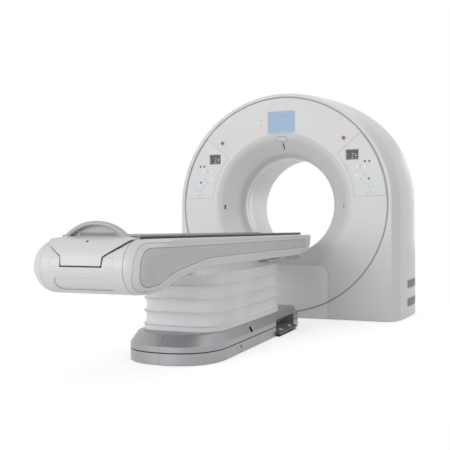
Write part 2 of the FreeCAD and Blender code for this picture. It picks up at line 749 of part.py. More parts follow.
def flank_barrel(wall):
    return barrel(FLANK_SECTIONS, wall, COVER_LIFT if wall == 0.0 else COVER_LIFT - 1.0)


def wedge_over_crown(angle, grow):
    """Prism over the crown between the two top seams, moved outwards by grow."""
    reach = 1600.0
    a = math.radians(angle)
    drop = grow / math.cos(a)
    return along_y([
        (0.0, ISO_HEIGHT - drop, 0),
        (reach, ISO_HEIGHT + reach * math.tan(a) - drop, 0),
        (reach, ISO_HEIGHT + 2 * reach, 0),
        (-reach, ISO_HEIGHT + 2 * reach, 0),
        (-reach, ISO_HEIGHT + reach * math.tan(a) - drop, 0),
    ], deep(FLANK_START - 1.0), deep(FLANK_END_DEPTH + 1.0))


def vent_outline(heights):
    (d0, d1), (z0, z1) = VENT_DEPTHS, heights
    return [(deep(d0), z0, 6.0), (deep(d1), z0, 6.0), (deep(d1), z1, 6.0), (deep(d0), z1, 6.0)]


def side_cover(shell):
    """Right-hand flank, from the floor to the top seam, with its two vent openings."""
    half = box(0, 2.0 * FLANK_HALF_WIDTH, deep(FLANK_START - 1), deep(FLANK_END_DEPTH + 1), 0, 2.0 * ISO_HEIGHT)
    piece = shell.cut(wedge_over_crown(TOP_SEAM_ANGLE, SEAM / 2)).common(half)
    for heights in VENT_HEIGHTS:
        piece = piece.cut(along_x(grown(vent_outline(heights), 0.4), *VENT_REACH))
    return piece


def vent_grilles(shell):
    """Slatted grilles that follow the flank's curve."""
    grilles = []
    for heights in VENT_HEIGHTS:
        grille = shell.common(along_x(vent_outline(heights), *VENT_REACH))
        pitch = (heights[1] - heights[0]) / (VENT_SLOTS + 1)
        for i in range(VENT_SLOTS):
            z = heights[0] + pitch * (i + 1)
            slot = box(*VENT_REACH, deep(VENT_DEPTHS[0] + 12), deep(VENT_DEPTHS[1] - 12),
                       z - VENT_SLOT / 2, z + VENT_SLOT / 2)
            grille = grille.cut(slot)
        grilles.append(grille)
    return Part.makeCompound(grilles)


def rear_cover():
    """Rear wall with rounded shoulders and the hole for the rear funnel."""
    outer = barrel(REAR_SECTIONS, 0.0)
    hollow = barrel(REAR_CAVITY, COVER_WALL, COVER_LIFT - 1.0)
    hole = disc(REAR_LIP_RADIUS + SEAM, 0, ISO_HEIGHT, deep(REAR_START - 1.0), deep(GANTRY_DEPTH + 1.0))
    return outer.cut(hollow).cut(hole)


def scan_window():
    """Thin X-ray window between the front funnel's throat and the rear funnel."""
    y0 = deep(THROAT_DEPTH + WINDOW_SEAM)
    y1 = deep(WINDOW_END_DEPTH)
    return around_bore([
        (THROAT_RADIUS + 0.4, y0, 0), (WINDOW_END_RADIUS, y1, 0),
        (WINDOW_END_RADIUS + WINDOW_WALL, y1, 0), (THROAT_RADIUS + 0.4 + WINDOW_WALL, y0, 0),
    ])


def rear_funnel():
    """Bore liner behind the scan window, opening out to a rounded rear lip."""
    wall = COVER_WALL
    y0 = deep(WINDOW_END_DEPTH)
    knee = deep(REAR_FUNNEL_KNEE_DEPTH)
    rear = deep(GANTRY_DEPTH)
    return around_bore([
        (WINDOW_END_RADIUS, y0, 0),
        (REAR_FUNNEL_KNEE_RADIUS, knee, 0),
        (REAR_OPENING_RADIUS, rear - REAR_LIP_BEVEL, 0),
        (REAR_OPENING_RADIUS + REAR_LIP_BEVEL, rear, 0),
        (REAR_LIP_RADIUS, rear, 0),
        (REAR_LIP_RADIUS, rear - wall, 0),
        (REAR_OPENING_RADIUS + wall, rear - wall - 4.0, 0),
        (REAR_FUNNEL_KNEE_RADIUS + wall, knee, 0),
        (WINDOW_END_RADIUS + wall, y0, 0),
    ])


# ---------------------------------------------------------------- gantry frame and rotor
def gantry_base():
    """Steel floor plate with four anchor holes and two upright rails."""
    half, front, rear, thick = BASE_PLATE
    plate = box(-half, half, deep(front), deep(rear), 0, thick)
    for x in (-GANTRY_ANCHOR_X, GANTRY_ANCHOR_X):
        for depth in GANTRY_ANCHOR_DEPTHS:
            plate = plate.cut(Part.makeCylinder(ANCHOR_RADIUS, thick + 2, V(x, deep(depth), -1)))
    return plate


def stator_frame():
    """Upright steel ring on two legs, with lightening holes and gussets."""
    y0, y1 = deep(STATOR_DEPTHS[0]), deep(STATOR_DEPTHS[1])
    thick = BASE_PLATE[3]
    plate = disc(STATOR_RADIUS, 0, ISO_HEIGHT, y0, y1)
    for side in (-1, 1):
        leg = along_y([
            (side * STATOR_LEG_INNER, thick, 0), (side * STATOR_LEG_OUTER, thick, 0),
            (side * STATOR_LEG_OUTER, 420.0, 0), (side * (STATOR_RADIUS - 6.0), ISO_HEIGHT, 0),
            (side * STATOR_LEG_INNER, ISO_HEIGHT, 0),
        ], y0, y1)
        leg = leg.cut(disc(90.0, side * 690.0, 330.0, y0 - 1, y1 + 1))
        gusset = along_x([(y1, thick, 0), (y1 + 180.0, thick, 0), (y1, 600.0, 0)],
                         side * 840.0 - 10.0, side * 840.0 + 10.0)
        plate = plate.fuse([leg, gusset])
    return plate.cut(disc(STATOR_BORE, 0, ISO_HEIGHT, y0 - 1, y1 + 1)).removeSplitter()


def outer_race():
    inner = RACE_SPLIT_RADIUS + RACE_GAP
    return ring(inner, inner + 60.0, deep(DRUM_DEPTHS[1] + 6.0), deep(STATOR_DEPTHS[0]))


def inner_race():
    return ring(RACE_SPLIT_RADIUS - RACE_WALL, RACE_SPLIT_RADIUS, deep(DRUM_DEPTHS[1]), deep(STATOR_DEPTHS[0] - 6.0))


def rotor_drum():
    """Rotating ring plate with a stiffening rim, pierced between its units."""
    y0, y1 = deep(DRUM_DEPTHS[0]), deep(DRUM_DEPTHS[1])
    plate = ring(DRUM_BORE, DRUM_RADIUS, y0, y1)
    plate = plate.fuse(ring(DRUM_BORE, DRUM_BORE + 18.0, y0 - 60.0, y0))
    for degrees in (45, 135, 225, 315):
        a = math.radians(degrees)
        plate = plate.cut(disc(60.0, 760.0 * math.cos(a), ISO_HEIGHT + 760.0 * math.sin(a), y0 - 1, y1 + 1))
    return plate.removeSplitter()


def xray_tube():
    """Tube housing: a drum along the bore axis, with end caps and a beam port."""
    z = ISO_HEIGHT + TUBE_ORBIT
    y1 = deep(DRUM_DEPTHS[0])
    cap_start, drum_start, foot_start = TUBE_DEPTHS
    radius = TUBE_RADIUS_HOUSING
    body = disc(radius, 0, z, deep(drum_start), y1)
    cap = disc(0.8 * radius, 0, z, deep(cap_start), deep(drum_start))
    foot = box(-radius - 15.0, radius + 15.0, deep(foot_start), y1, z - 0.6 * radius, z + 0.6 * radius)
    return body.fuse(cap).fuse(foot).removeSplitter()


def beam_collimator():
    """Box under the tube that shapes the fan beam, with its slot."""
    half, reach, height = COLLIMATOR_SIZE
    slot_half, slot_reach = COLLIMATOR_SLOT
    z = ISO_HEIGHT + TUBE_ORBIT - TUBE_RADIUS_HOUSING
    body = box(-half, half, deep(SCAN_DEPTH - reach), deep(SCAN_DEPTH + reach), z - height, z + 22.0)
    saddle = disc(TUBE_RADIUS_HOUSING + 0.3, 0, ISO_HEIGHT + TUBE_ORBIT,
                  deep(SCAN_DEPTH - reach - 1.0), deep(SCAN_DEPTH + reach + 1.0))
    slot = box(-slot_half, slot_half, deep(SCAN_DEPTH - slot_reach), deep(SCAN_DEPTH + slot_reach),
               z - height - 1.0, z + 25.0)
    return body.cut(saddle).cut(slot)


def detector_arc():
    """Curved detector opposite the tube, with a bracket to the drum."""
    face, bracket, back = DETECTOR_RADII
    y0, y1 = deep(SCAN_DEPTH - DETECTOR_HALF_DEPTH), deep(SCAN_DEPTH + DETECTOR_HALF_DEPTH)
    y2 = deep(DRUM_DEPTHS[0])
    drop = 1.3 * back
    spread = drop * math.tan(math.radians(DETECTOR_HALF_ANGLE))
    fan = along_y([(0, ISO_HEIGHT, 0), (-spread, ISO_HEIGHT - drop, 0), (spread, ISO_HEIGHT - drop, 0)], y0, y2)
    sector = disc(back, 0, ISO_HEIGHT, y0, y2).common(fan)
    return sector.cut(disc(face, 0, ISO_HEIGHT, y0 - 1, y1)).cut(disc(bracket, 0, ISO_HEIGHT, y1, y2 + 1))


def rotor_unit(degrees, radius, width, height, front, corner=8.0):
    """Rounded cabinet bolted to the drum, square to the radius at an angle from +X."""
    body = along_y([
        (radius - height / 2, -width / 2, corner), (radius + height / 2, -width / 2, corner),
        (radius + height / 2, width / 2, corner), (radius - height / 2, width / 2, corner),
    ], deep(front), deep(DRUM_DEPTHS[0]))
    body.rotate(V(0, 0, 0), V(0, 1, 0), -degrees)
    body.translate(V(0, 0, ISO_HEIGHT))
    return body


# Angle from +X, radius, width, height and front depth: high voltage unit, cooler, data unit, weight.
CABINETS = [
    (22.0, CABINET_ORBIT, 300.0, 240.0, 230.0),
    (158.0, CABINET_ORBIT, 300.0, 240.0, 230.0),
    (-18.0, CABINET_ORBIT, 220.0, 200.0, 300.0),
    (198.0, CABINET_ORBIT, 220.0, 200.0, 330.0),
]


def slip_ring():
    """Band on the drum's rim that carries power and data to the rotor."""
    return ring(DRUM_RADIUS, SLIP_RING_RADIUS, deep(DRUM_DEPTHS[0]), deep(DRUM_DEPTHS[1]))


def brush_block():
    """Holder of the slip ring's brushes, on an arm from the stator frame's leg."""
    reach = SLIP_RING_RADIUS + BRUSH_GAP
    half = 60.0
    y0 = deep(DRUM_DEPTHS[0] - 5.0)
    y1 = deep(STATOR_DEPTHS[0])
    z = ISO_HEIGHT - BRUSH_DROP
    inner = math.sqrt(reach ** 2 - (ISO_HEIGHT - z + half) ** 2)
    block = box(inner, BRUSH_OUTER, y0, y1, z - half, z + half)
    block = block.cut(disc(reach, 0, ISO_HEIGHT, y0 - 5.0, deep(DRUM_DEPTHS[1] + 6.0)))
    arm = box(STATOR_LEG_OUTER - 110.0, BRUSH_OUTER, y1 - 18.0, y1, z - half, z + half)
    return block.fuse(arm).removeSplitter()


def bracket_post(side, depth, cavity):
    """Foot bracket on the base plate whose outer end meets the inside of a cover."""
    thick = BASE_PLATE[3]
    reach = FLANK_HALF_WIDTH + 60.0
    post = box(side * 930.0, side * reach, deep(depth), deep(depth + BRACKET_WIDTH), thick, thick + 60.0)
    return post.common(cavity)


def crown_arm(degrees, cavity):
    """Arm on the back of the stator ring that holds up the top cover."""
    y0 = deep(STATOR_DEPTHS[1])
    arm = box(-20.0, 20.0, y0, y0 + BRACKET_WIDTH, STATOR_RADIUS - 90.0, 1300.0)
    arm.rotate(V(0, 0, 0), V(0, 1, 0), degrees)
    arm.translate(V(0, 0, ISO_HEIGHT))
    return arm.common(cavity)


def cover_brackets():
    """Brackets from the base plate and the stator ring to the inside of the covers."""
    front = barrel(FRONT_CAVITY, COVER_WALL + BRACKET_GAP, 0.0)
    middle = barrel(FLANK_SECTIONS, COVER_WALL + BRACKET_GAP, 0.0)
    rear = barrel(REAR_CAVITY, COVER_WALL + BRACKET_GAP, 0.0)
    pieces = []
    for side in (-1, 1):
        pieces.append(bracket_post(side, 52.0, front))
        pieces.append(bracket_post(side, FLANK_START + 15.0, middle))
        pieces.append(bracket_post(side, 790.0, middle))
        pieces.append(bracket_post(side, 873.0, rear))
        pieces.append(crown_arm(side * 28.0, middle))
    return Part.makeCompound(pieces)


# ---------------------------------------------------------------- couch: lift frame
def couch_profile(margin):
    """Side view of the couch frame in (y, z), moved inwards by margin."""
    nose = NOSE_RADIUS - 0.05
    points = [
        (ahead(HEAD_END), COUCH_TOP, 12.0),
        (ahead(NOSE_END), COUCH_TOP, nose),
        (ahead(NOSE_END), COUCH_TOP - 2 * NOSE_RADIUS, nose),
        (ahead(NOSE_END - 178.0), COUCH_TOP - 2 * NOSE_RADIUS, 100.0),
        (ahead(2570.0), 563.0, 500.0),
        (ahead(2230.0), COUCH_UNDERSIDE, 800.0),
        (ahead(560.0), COUCH_UNDERSIDE, 700.0),
        (ahead(255.0), 628.0, 60.0),
        (ahead(HEAD_END + 16.0), 690.0, 120.0),
    ]
    return inset(points, margin) if margin else points


def couch_plan(inner, margin):
    """Plan of one side cover in (x, y)."""
    outer = COUCH_HALF_WIDTH - margin
    return [
        (inner, ahead(NOSE_END - margin), 0),
        (outer, ahead(NOSE_END - margin), 0),
        (outer, ahead(HEAD_END + margin), 20.0),
        (inner, ahead(HEAD_END + margin), 0),
    ]


def couch_section(y, corner, margin):
    """Rounded rectangle of the couch's full width at one y, just larger than its side view."""
    half_width = COUCH_HALF_WIDTH - margin
    half_height = NOSE_RADIUS - margin + NOSE_SPARE
    outline = slab(0.0, COUCH_TOP - NOSE_RADIUS, 2.0 * half_width, 2.0 * half_height, corner)
    return wire(chords(outline, NOSE_STEPS), lambda u, v: V(u, y, v))


NOSE_SPARE = 1.0


def nose_rounder(margin):
    """Envelope that rounds the foot end sideways as well: a turned nose, then a fading edge."""
    centre = (ahead(NOSE_END - NOSE_RADIUS), COUCH_TOP - NOSE_RADIUS)
    half_width = COUCH_HALF_WIDTH - margin
    radius = NOSE_RADIUS - margin + NOSE_SPARE
    rounding = NOSE_ROUNDING - margin
    outline = chords([
        (-half_width, 0.0, 0), (-half_width, radius, rounding), (half_width, radius, rounding),
        (half_width, 0.0, 0),
    ], NOSE_STEPS)
    profile = wire(outline, lambda u, v: V(u, centre[0], centre[1] + v))
    nose = Part.Face(profile).revolve(V(0, *centre), V(1, 0, 0), 180)
    fade_end = centre[0] + NOSE_RUN_OUT
    fade = Part.makeLoft([
        couch_section(centre[0], rounding, margin), couch_section(fade_end, SIDE_EDGE, margin)], True, True)
    rest = Part.Face(couch_section(fade_end, SIDE_EDGE, margin)).extrude(V(0, ahead(HEAD_END) - fade_end, 0))
    return nose.fuse([fade, rest])


SIDE_INNER = CAP_HALF_WIDTH + CAP_SEAM


def inlay_outline(margin):
    """Long inlay panel of the couch's side in (y, z)."""
    points = [
        (ahead(INLAY_HEAD), 733.0, 10.0),
        (ahead(INLAY_FOOT), 725.0, 95.0),
        (ahead(INLAY_FOOT), 502.0, 78.0),
        (ahead(2590.0), 598.0, 500.0),
        (ahead(2200.0), 654.0, 800.0),
        (ahead(INLAY_HEAD), 667.0, 10.0),
    ]
    return inset(points, margin) if margin else points


def couch_side(inset_by, inner):
    body = along_x(couch_profile(inset_by), inner, COUCH_HALF_WIDTH - inset_by)
    body = body.common(nose_rounder(inset_by))
    return body.common(along_z(couch_plan(inner - 1.0, inset_by), 400.0, 900.0))


def side_cover_of_couch():
    """Right side moulding: a shell open towards the middle, with the recess of its inlay."""
    shell = couch_side(0.0, SIDE_INNER)
    recess = along_x(inlay_outline(0.0), 300.0, 400.0).cut(couch_side(INLAY_RECESS, 100.0))
    hollow = couch_side(COUCH_WALL + INLAY_RECESS, SIDE_INNER - 10.0)
    return shell.cut(recess).cut(hollow)


def side_inlay():
    """Grey inlay panel, a little below the cover's surface."""
    layer = couch_side(1.0, SIDE_INNER + 40.0).cut(couch_side(INLAY_RECESS, 100.0))
    return layer.common(along_x(inlay_outline(2.0), 250.0, 400.0))


def moving_section(margin, top):
    """Section (x, z) of everything that slides: carriage in its channel, shoulders, table edge."""
    grow = margin
    return [
        (-CHANNEL_HALF_WIDTH - grow, CHANNEL_BOTTOM - grow, 0),
        (CHANNEL_HALF_WIDTH + grow, CHANNEL_BOTTOM - grow, 0),
        (SHOULDER_LOW[0] + grow, SHOULDER_LOW[1] - grow * 0.5, 0),
        (SHOULDER_HIGH[0] + grow * 0.7, SHOULDER_HIGH[1] - grow, 0),
        (TABLE_HALF_WIDTH + grow * 0.7, COUCH_TOP - 2.0 - grow, 0),
        (TABLE_HALF_WIDTH + grow * 0.7, top, 0),
        (-TABLE_HALF_WIDTH - grow * 0.7, top, 0),
        (-TABLE_HALF_WIDTH - grow * 0.7, COUCH_TOP - 2.0 - grow, 0),
        (-SHOULDER_HIGH[0] - grow * 0.7, SHOULDER_HIGH[1] - grow, 0),
        (-SHOULDER_LOW[0] - grow, SHOULDER_LOW[1] - grow * 0.5, 0),
    ]


def end_cap():
    """Rounded foot end between the side covers, cut out for the sliding cover, with a grip recess."""
    body = along_x(couch_profile(0.0), -CAP_HALF_WIDTH, CAP_HALF_WIDTH)
    body = body.common(box(-400, 400, ahead(CAP_START), ahead(NOSE_END + 1), 400, 900))
    body = body.cut(along_y(moving_section(SLIDE_GAP, 900.0), ahead(NOSE_END + 5), ahead(CAP_START - 5)))
    grip = along_y(slab(0.0, 557.0, 300.0, 54.0, 24.0), ahead(NOSE_END + 5), ahead(NOSE_END - 62.0))
    hollow = along_x(couch_profile(22.0), -CAP_HALF_WIDTH + 22.0, CAP_HALF_WIDTH - 22.0)
    hollow = hollow.common(box(-400, 400, ahead(CAP_START - 1), ahead(NOSE_END - 70.0), 400, CHANNEL_BOTTOM - 14.0))
    return body.cut(grip).cut(hollow)


def couch_beam():
    """Long extruded beam with the carriage's channel in its top and two hollow chambers."""
    outline = [(-SIDE_INNER, COUCH_UNDERSIDE, 0), (SIDE_INNER, COUCH_UNDERSIDE, 0),
               (SIDE_INNER, COUCH_TOP - 4.0, 0), (-SIDE_INNER, COUCH_TOP - 4.0, 0)]
    y0, y1 = ahead(CAP_START), ahead(HEAD_END + 14.0)
    body = along_y(outline, y0, y1)
    body = body.cut(along_y(moving_section(SLIDE_GAP, 900.0), y0 - 1, y1 + 1))
    chamber = [
        (CHANNEL_HALF_WIDTH + 14.0, COUCH_UNDERSIDE + 8.0, 4.0),
        (SIDE_INNER - 8.0, COUCH_UNDERSIDE + 8.0, 4.0),
        (SIDE_INNER - 8.0, 736.0, 4.0),
        (SHOULDER_HIGH[0] + 4.0, 714.0, 4.0),
        (CHANNEL_HALF_WIDTH + 14.0, 664.0, 4.0),
    ]
    cavity = along_y(chamber, y0 + 6.0, y1 - 6.0)
    floor = box(-96.0, 96.0, y0 + 6.0, y1 - 90.0, COUCH_UNDERSIDE + 8.0, CHANNEL_BOTTOM - SLIDE_GAP - 8.0)
    body = body.cut(cavity).cut(mirrored(cavity)).cut(floor)
    return body.common(along_x(couch_profile(3.0), -SIDE_INNER - 1.0, SIDE_INNER + 1.0))


def under_plate():
    """Tray under the beam that closes the bellows and holds the lift's upper ends."""
    plan = rounded_plan(UNDER_PLATE_HALF_WIDTH, BELLOWS_HEAD + 4.0, UNDER_PLATE_FOOT, 90.0)
    body = along_z(plan, BELLOWS_TOP, COUCH_UNDERSIDE)
    hollow = along_z(inset(plan, 6.0), BELLOWS_TOP + 12.0, COUCH_UNDERSIDE + 1.0)
    return body.cut(hollow)


def accessory_rail():
    """Steel rail under the head end for arm boards and drip stands, on its brackets."""
    x1 = COUCH_HALF_WIDTH - 4.0
    x0 = x1 - RAIL_SECTION[0]
    z1 = COUCH_UNDERSIDE - RAIL_DROP
    y0, y1 = ahead(RAIL_DISTANCES[1]), ahead(RAIL_DISTANCES[0])
    rail = box(x0, x1, y0, y1, z1 - RAIL_SECTION[1], z1)
    pitch = (y1 - y0 - 60.0) / (RAIL_BRACKETS - 1)
    for i in range(RAIL_BRACKETS):
        y = y0 + 30.0 + i * pitch
        bracket = box(x0 - 18.0, x0, y - 14.0, y + 14.0, z1 - 18.0, COUCH_UNDERSIDE + 30.0)
        rail = rail.fuse(bracket)
    seat = along_x(couch_profile(0.0), 200.0, 400.0)
    return both(rail.cut(seat).removeSplitter())


# ---------------------------------------------------------------- couch: sliding table
def table_section():
    """Dished cradle: rolled edges, shallow bowl on top, keel below."""
    return [
        (-TABLE_HALF_WIDTH, TABLE_TOP, 4.0),
        (-TABLE_HALF_WIDTH, TABLE_EDGE_LOW, 6.0),
        (-160.0, 748.0, 60.0),
        (-60.0, 740.0, 60.0),
        (60.0, 740.0, 60.0),
        (160.0, 748.0, 60.0),
        (TABLE_HALF_WIDTH, TABLE_EDGE_LOW, 6.0),
        (TABLE_HALF_WIDTH, TABLE_TOP, 4.0),
        (TABLE_HALF_WIDTH - 14.0, TABLE_TOP, 8.0),
        (70.0, TABLE_TOP - TABLE_DISH, 500.0),
        (-70.0, TABLE_TOP - TABLE_DISH, 500.0),
        (-TABLE_HALF_WIDTH + 14.0, TABLE_TOP, 8.0),
    ]


def tabletop():
    return along_y(table_section(), ahead(TABLE_FOOT), ahead(TABLE_HEAD))


def head_extension():
    """Thin tongue that plugs into the table's head end and carries a head rest."""
    top = [
        (-TIP_HALF_WIDTH, TABLE_TOP - 1.0, 4.0),
        (-TIP_HALF_WIDTH, TABLE_TOP - 26.0, 8.0),
        (-90.0, TABLE_TOP - 42.0, 60.0),
        (90.0, TABLE_TOP - 42.0, 60.0),
        (TIP_HALF_WIDTH, TABLE_TOP - 26.0, 8.0),
        (TIP_HALF_WIDTH, TABLE_TOP - 1.0, 4.0),
        (TIP_HALF_WIDTH - 12.0, TABLE_TOP - 1.0, 6.0),
        (80.0, TABLE_TOP - 20.0, 400.0),
        (-80.0, TABLE_TOP - 20.0, 400.0),
        (-TIP_HALF_WIDTH + 12.0, TABLE_TOP - 1.0, 6.0),
    ]
    body = along_y(top, ahead(TABLE_HEAD), ahead(TIP_HEAD))
    plan = [
        (-TIP_HALF_WIDTH, ahead(TABLE_HEAD), 0), (TIP_HALF_WIDTH, ahead(TABLE_HEAD), 0),
        (TIP_HALF_WIDTH, ahead(TIP_HEAD), 45.0), (-TIP_HALF_WIDTH, ahead(TIP_HEAD), 45.0),
    ]
    return body.common(along_z(plan, 700.0, 850.0))


def table_carriage():
    """Carriage under the foot half of the table, running in the beam's channel."""
    outline = [
        (-CHANNEL_HALF_WIDTH, CHANNEL_BOTTOM, 4.0), (CHANNEL_HALF_WIDTH, CHANNEL_BOTTOM, 4.0),
        (SHOULDER_LOW[0], SHOULDER_LOW[1], 0), (150.0, 706.0, 0), (150.0, 720.0, 0),
        (100.0, 739.7, 0), (-100.0, 739.7, 0), (-150.0, 720.0, 0), (-150.0, 706.0, 0),
        (-SHOULDER_LOW[0], SHOULDER_LOW[1], 0),
    ]
    y0, y1 = ahead(TABLE_FOOT), ahead(CARRIAGE_HEAD)
    body = along_y(outline, y0, y1)
    hollow = box(-100, 100, y0 + 10, y1 - 10, CHANNEL_BOTTOM + 12, 728.0)
    runner = box(RUNNER_X, RUNNER_X + RUNNER_WIDTH, y0, y1, CHANNEL_BOTTOM - SLIDE_GAP + RUNNER_GAP, CHANNEL_BOTTOM)
    return body.cut(hollow).fuse([runner, mirrored(runner)]).removeSplitter()


def foot_cover_block(thinner):
    """Outer form of the table's foot end, made thinner on all sides but its open back."""
    profile = [
        (ahead(TABLE_FOOT), CHANNEL_BOTTOM, 0),
        (ahead(TABLE_FOOT), TABLE_TOP - 1.0, 0),
        (ahead(NOSE_END), COUCH_TOP + 3.0, NOSE_RADIUS),
        (ahead(NOSE_END), COUCH_TOP - NOSE_RADIUS - 5.0, 0),
        (ahead(NOSE_END - 5.0), CHANNEL_BOTTOM - 5.0, 0),
    ]
    if thinner:
        profile = [(y, z, 0) for y, z, _ in inset(profile, thinner)]
        profile[0] = (ahead(TABLE_FOOT), profile[0][1], 0)
        profile[1] = (ahead(TABLE_FOOT), profile[1][1], 0)
    section = moving_section(-thinner, 820.0)
    return along_x(profile, -400.0, 400.0).common(along_y(section, ahead(NOSE_END + 5), ahead(TABLE_FOOT)))


def foot_cover():
    """Cover over the table's foot end: it follows the nose and ends in a tab in the cap's notch."""
    return foot_cover_block(0.0).cut(foot_cover_block(8.0))


def arch_handle():
    """Arched pull handle across the foot end; a thin web behind it leaves a pocket for the hand."""
    y0, y1 = ahead(HANDLE_DEPTHS[1]), ahead(HANDLE_DEPTHS[0])
    outer = HANDLE_OUTER_RADIUS
    inner = outer - HANDLE_TUBE
    b = HANDLE_BEVEL
    section = [
        (inner, y0 + b, 0), (inner + b, y0, 0), (outer - b, y0, 0), (outer, y0 + b, 0),
        (outer, y1 - b, 0), (outer - b, y1, 0), (inner + b, y1, 0), (inner, y1 - b, 0),
    ]
    face = Part.Face(wire(section, lambda u, v: V(u, v, HANDLE_CENTRE_HEIGHT)))
    hoop = face.revolve(V(0, 0, HANDLE_CENTRE_HEIGHT), V(0, 1, 0), -180)
    web = disc(inner + 6.0, 0, HANDLE_CENTRE_HEIGHT, y1 - HANDLE_WEB, y1)
    web = web.common(box(-300, 300, y0, y1, COUCH_TOP - 6.0, 900))
    hoop = hoop.fuse(web).removeSplitter()
    return hoop.cut(foot_cover_block(0.0)).common(box(-300, 300, y0 - 5, y1 + 5, COUCH_TOP - 6.0, 900))


# ---------------------------------------------------------------- couch: plinth, bellows, lift
def plinth_wire(margin, z):
    """Plan of the plinth at one height: rounded head end, a full bow at the foot end."""
    half = PLINTH_HALF_WIDTH - margin
    head = ahead(PLINTH_HEAD + margin)
    corner = PLINTH_HEAD_CORNER - margin / 2.0
    nose = ahead(PLINTH_NOSE_CENTRE)
    tip = nose - PLINTH_NOSE_LENGTH + margin
    lean = corner * (1.0 - math.sqrt(0.5))
    return Part.Wire([
        bow(V(half, nose, z), V(half, tip, z), V(0, tip, z), PLINTH_NOSE_WEIGHT),
        bow(V(0, tip, z), V(-half, tip, z), V(-half, nose, z), PLINTH_NOSE_WEIGHT),
        Part.LineSegment(V(-half, nose, z), V(-half, head - corner, z)).toShape(),
        Part.Arc(V(-half, head - corner, z), V(-half + lean, head - lean, z), V(-half + corner, head, z)).toShape(),
        Part.LineSegment(V(-half + corner, head, z), V(half - corner, head, z)).toShape(),
        Part.Arc(V(half - corner, head, z), V(half - lean, head - lean, z), V(half, head - corner, z)).toShape(),
        Part.LineSegment(V(half, head - corner, z), V(half, nose, z)).toShape(),
    ])


def plinth_prism(margin, z0, z1):
    return Part.Face(plinth_wire(margin, z0)).extrude(V(0, 0, z1 - z0))


def pedal_notch(z0, z1):
    """Space of the pedal well on the right-hand side."""
    return box(PEDAL_WELL_X, 400.0, ahead(PEDAL_WELL[1]), ahead(PEDAL_WELL[0]), z0, z1)


def couch_base_plate():
    """Steel floor plate of the couch with four anchor holes."""
    plate = plinth_prism(PLINTH_WALL + 2.0, 0.0, COUCH_BASE_THICKNESS)
    for x in (-COUCH_ANCHOR_X, COUCH_ANCHOR_X):
        for distance in COUCH_ANCHOR_DISTANCES:
            hole = Part.makeCylinder(ANCHOR_RADIUS, COUCH_BASE_THICKNESS + 2, V(x, ahead(distance), -1))
            plate = plate.cut(hole)
    notch = pedal_notch(-1.0, COUCH_BASE_THICKNESS + 1.0)
    return plate.cut(notch).cut(mirrored(notch))


def plinth_skirt():
    """Lower band of the plinth with its set-back neck, open where the pedals stand."""
    band = plinth_prism(0.0, 3.0, SKIRT_TOP)
    neck = plinth_prism(SKIRT_NECK, SKIRT_TOP, SKIRT_TOP + PLINTH_GAP - PLINTH_SEAM)
    band = band.fuse(neck).cut(plinth_prism(PLINTH_WALL + 1.7, 2.0, SKIRT_TOP + PLINTH_GAP))
    notch = pedal_notch(2.0, SKIRT_TOP + PLINTH_GAP)
    return band.cut(notch).cut(mirrored(notch))


def plinth_cover():
    """Upper cover: upright band, slanted shoulder and a flat top with the lift's opening."""
    z0 = SKIRT_TOP + PLINTH_GAP
    band = plinth_prism(0.0, z0, SHOULDER_START)
    shoulder = Part.makeLoft([plinth_wire(0.0, SHOULDER_START), plinth_wire(PLINTH_INSET, PLINTH_TOP)], True, True)
    wall = PLINTH_WALL
    low_hollow = plinth_prism(wall, z0 - 1.0, SHOULDER_START)
    high_hollow = Part.makeLoft([
        plinth_wire(wall, SHOULDER_START), plinth_wire(PLINTH_INSET + wall, PLINTH_TOP - wall)], True, True)
    opening = along_z(rounded_plan(BELLOWS_HALF_WIDTH - 34.0, BELLOWS_HEAD + 30.0, BELLOWS_FOOT - 40.0, 70.0),
                      PLINTH_TOP - 10.0, PLINTH_TOP + 1.0)
    body = band.fuse(shoulder).cut(low_hollow).cut(high_hollow).cut(opening)
    notch = pedal_notch(z0 - 1.0, PEDAL_WELL_TOP)
    return body.cut(notch).cut(mirrored(notch))


def pedal_well():
    """Dark box behind the pedals, with their hinge rod."""
    outer = box(PEDAL_WELL_X + 0.4, PLINTH_HALF_WIDTH - PLINTH_WALL, ahead(PEDAL_WELL[1] - 0.4),
                ahead(PEDAL_WELL[0] + 0.4), 0.6, PEDAL_WELL_TOP - 0.4)
    inner = box(PEDAL_WELL_X + 4.0, 400.0, ahead(PEDAL_WELL[1] - 4.0), ahead(PEDAL_WELL[0] + 4.0),
                4.0, PEDAL_WELL_TOP - 4.0)
    shoulder = Part.makeLoft([plinth_wire(PLINTH_WALL, 0.0), plinth_wire(PLINTH_WALL, SHOULDER_START)], True, True)
    slope = Part.makeLoft([
        plinth_wire(PLINTH_WALL, SHOULDER_START),
        plinth_wire(PLINTH_INSET + PLINTH_WALL, PLINTH_TOP)], True, True)
    well = outer.cut(inner).common(shoulder.fuse(slope))
    edge, height = PEDAL_TRAY
    well = well.fuse(box(PEDAL_WELL_X + 4.0, edge, ahead(PEDAL_WELL[1] - 0.4), ahead(PEDAL_WELL[0] + 0.4), 0.6, height))
    x, z = PEDAL_PIVOT
    rod = Part.makeCylinder(PEDAL_PIN_RADIUS, PEDAL_WELL[1] - PEDAL_WELL[0] - 4.0,
                            V(x, ahead(PEDAL_WELL[1] - 2.0), z), V(0, 1, 0))
    return well.fuse(rod)


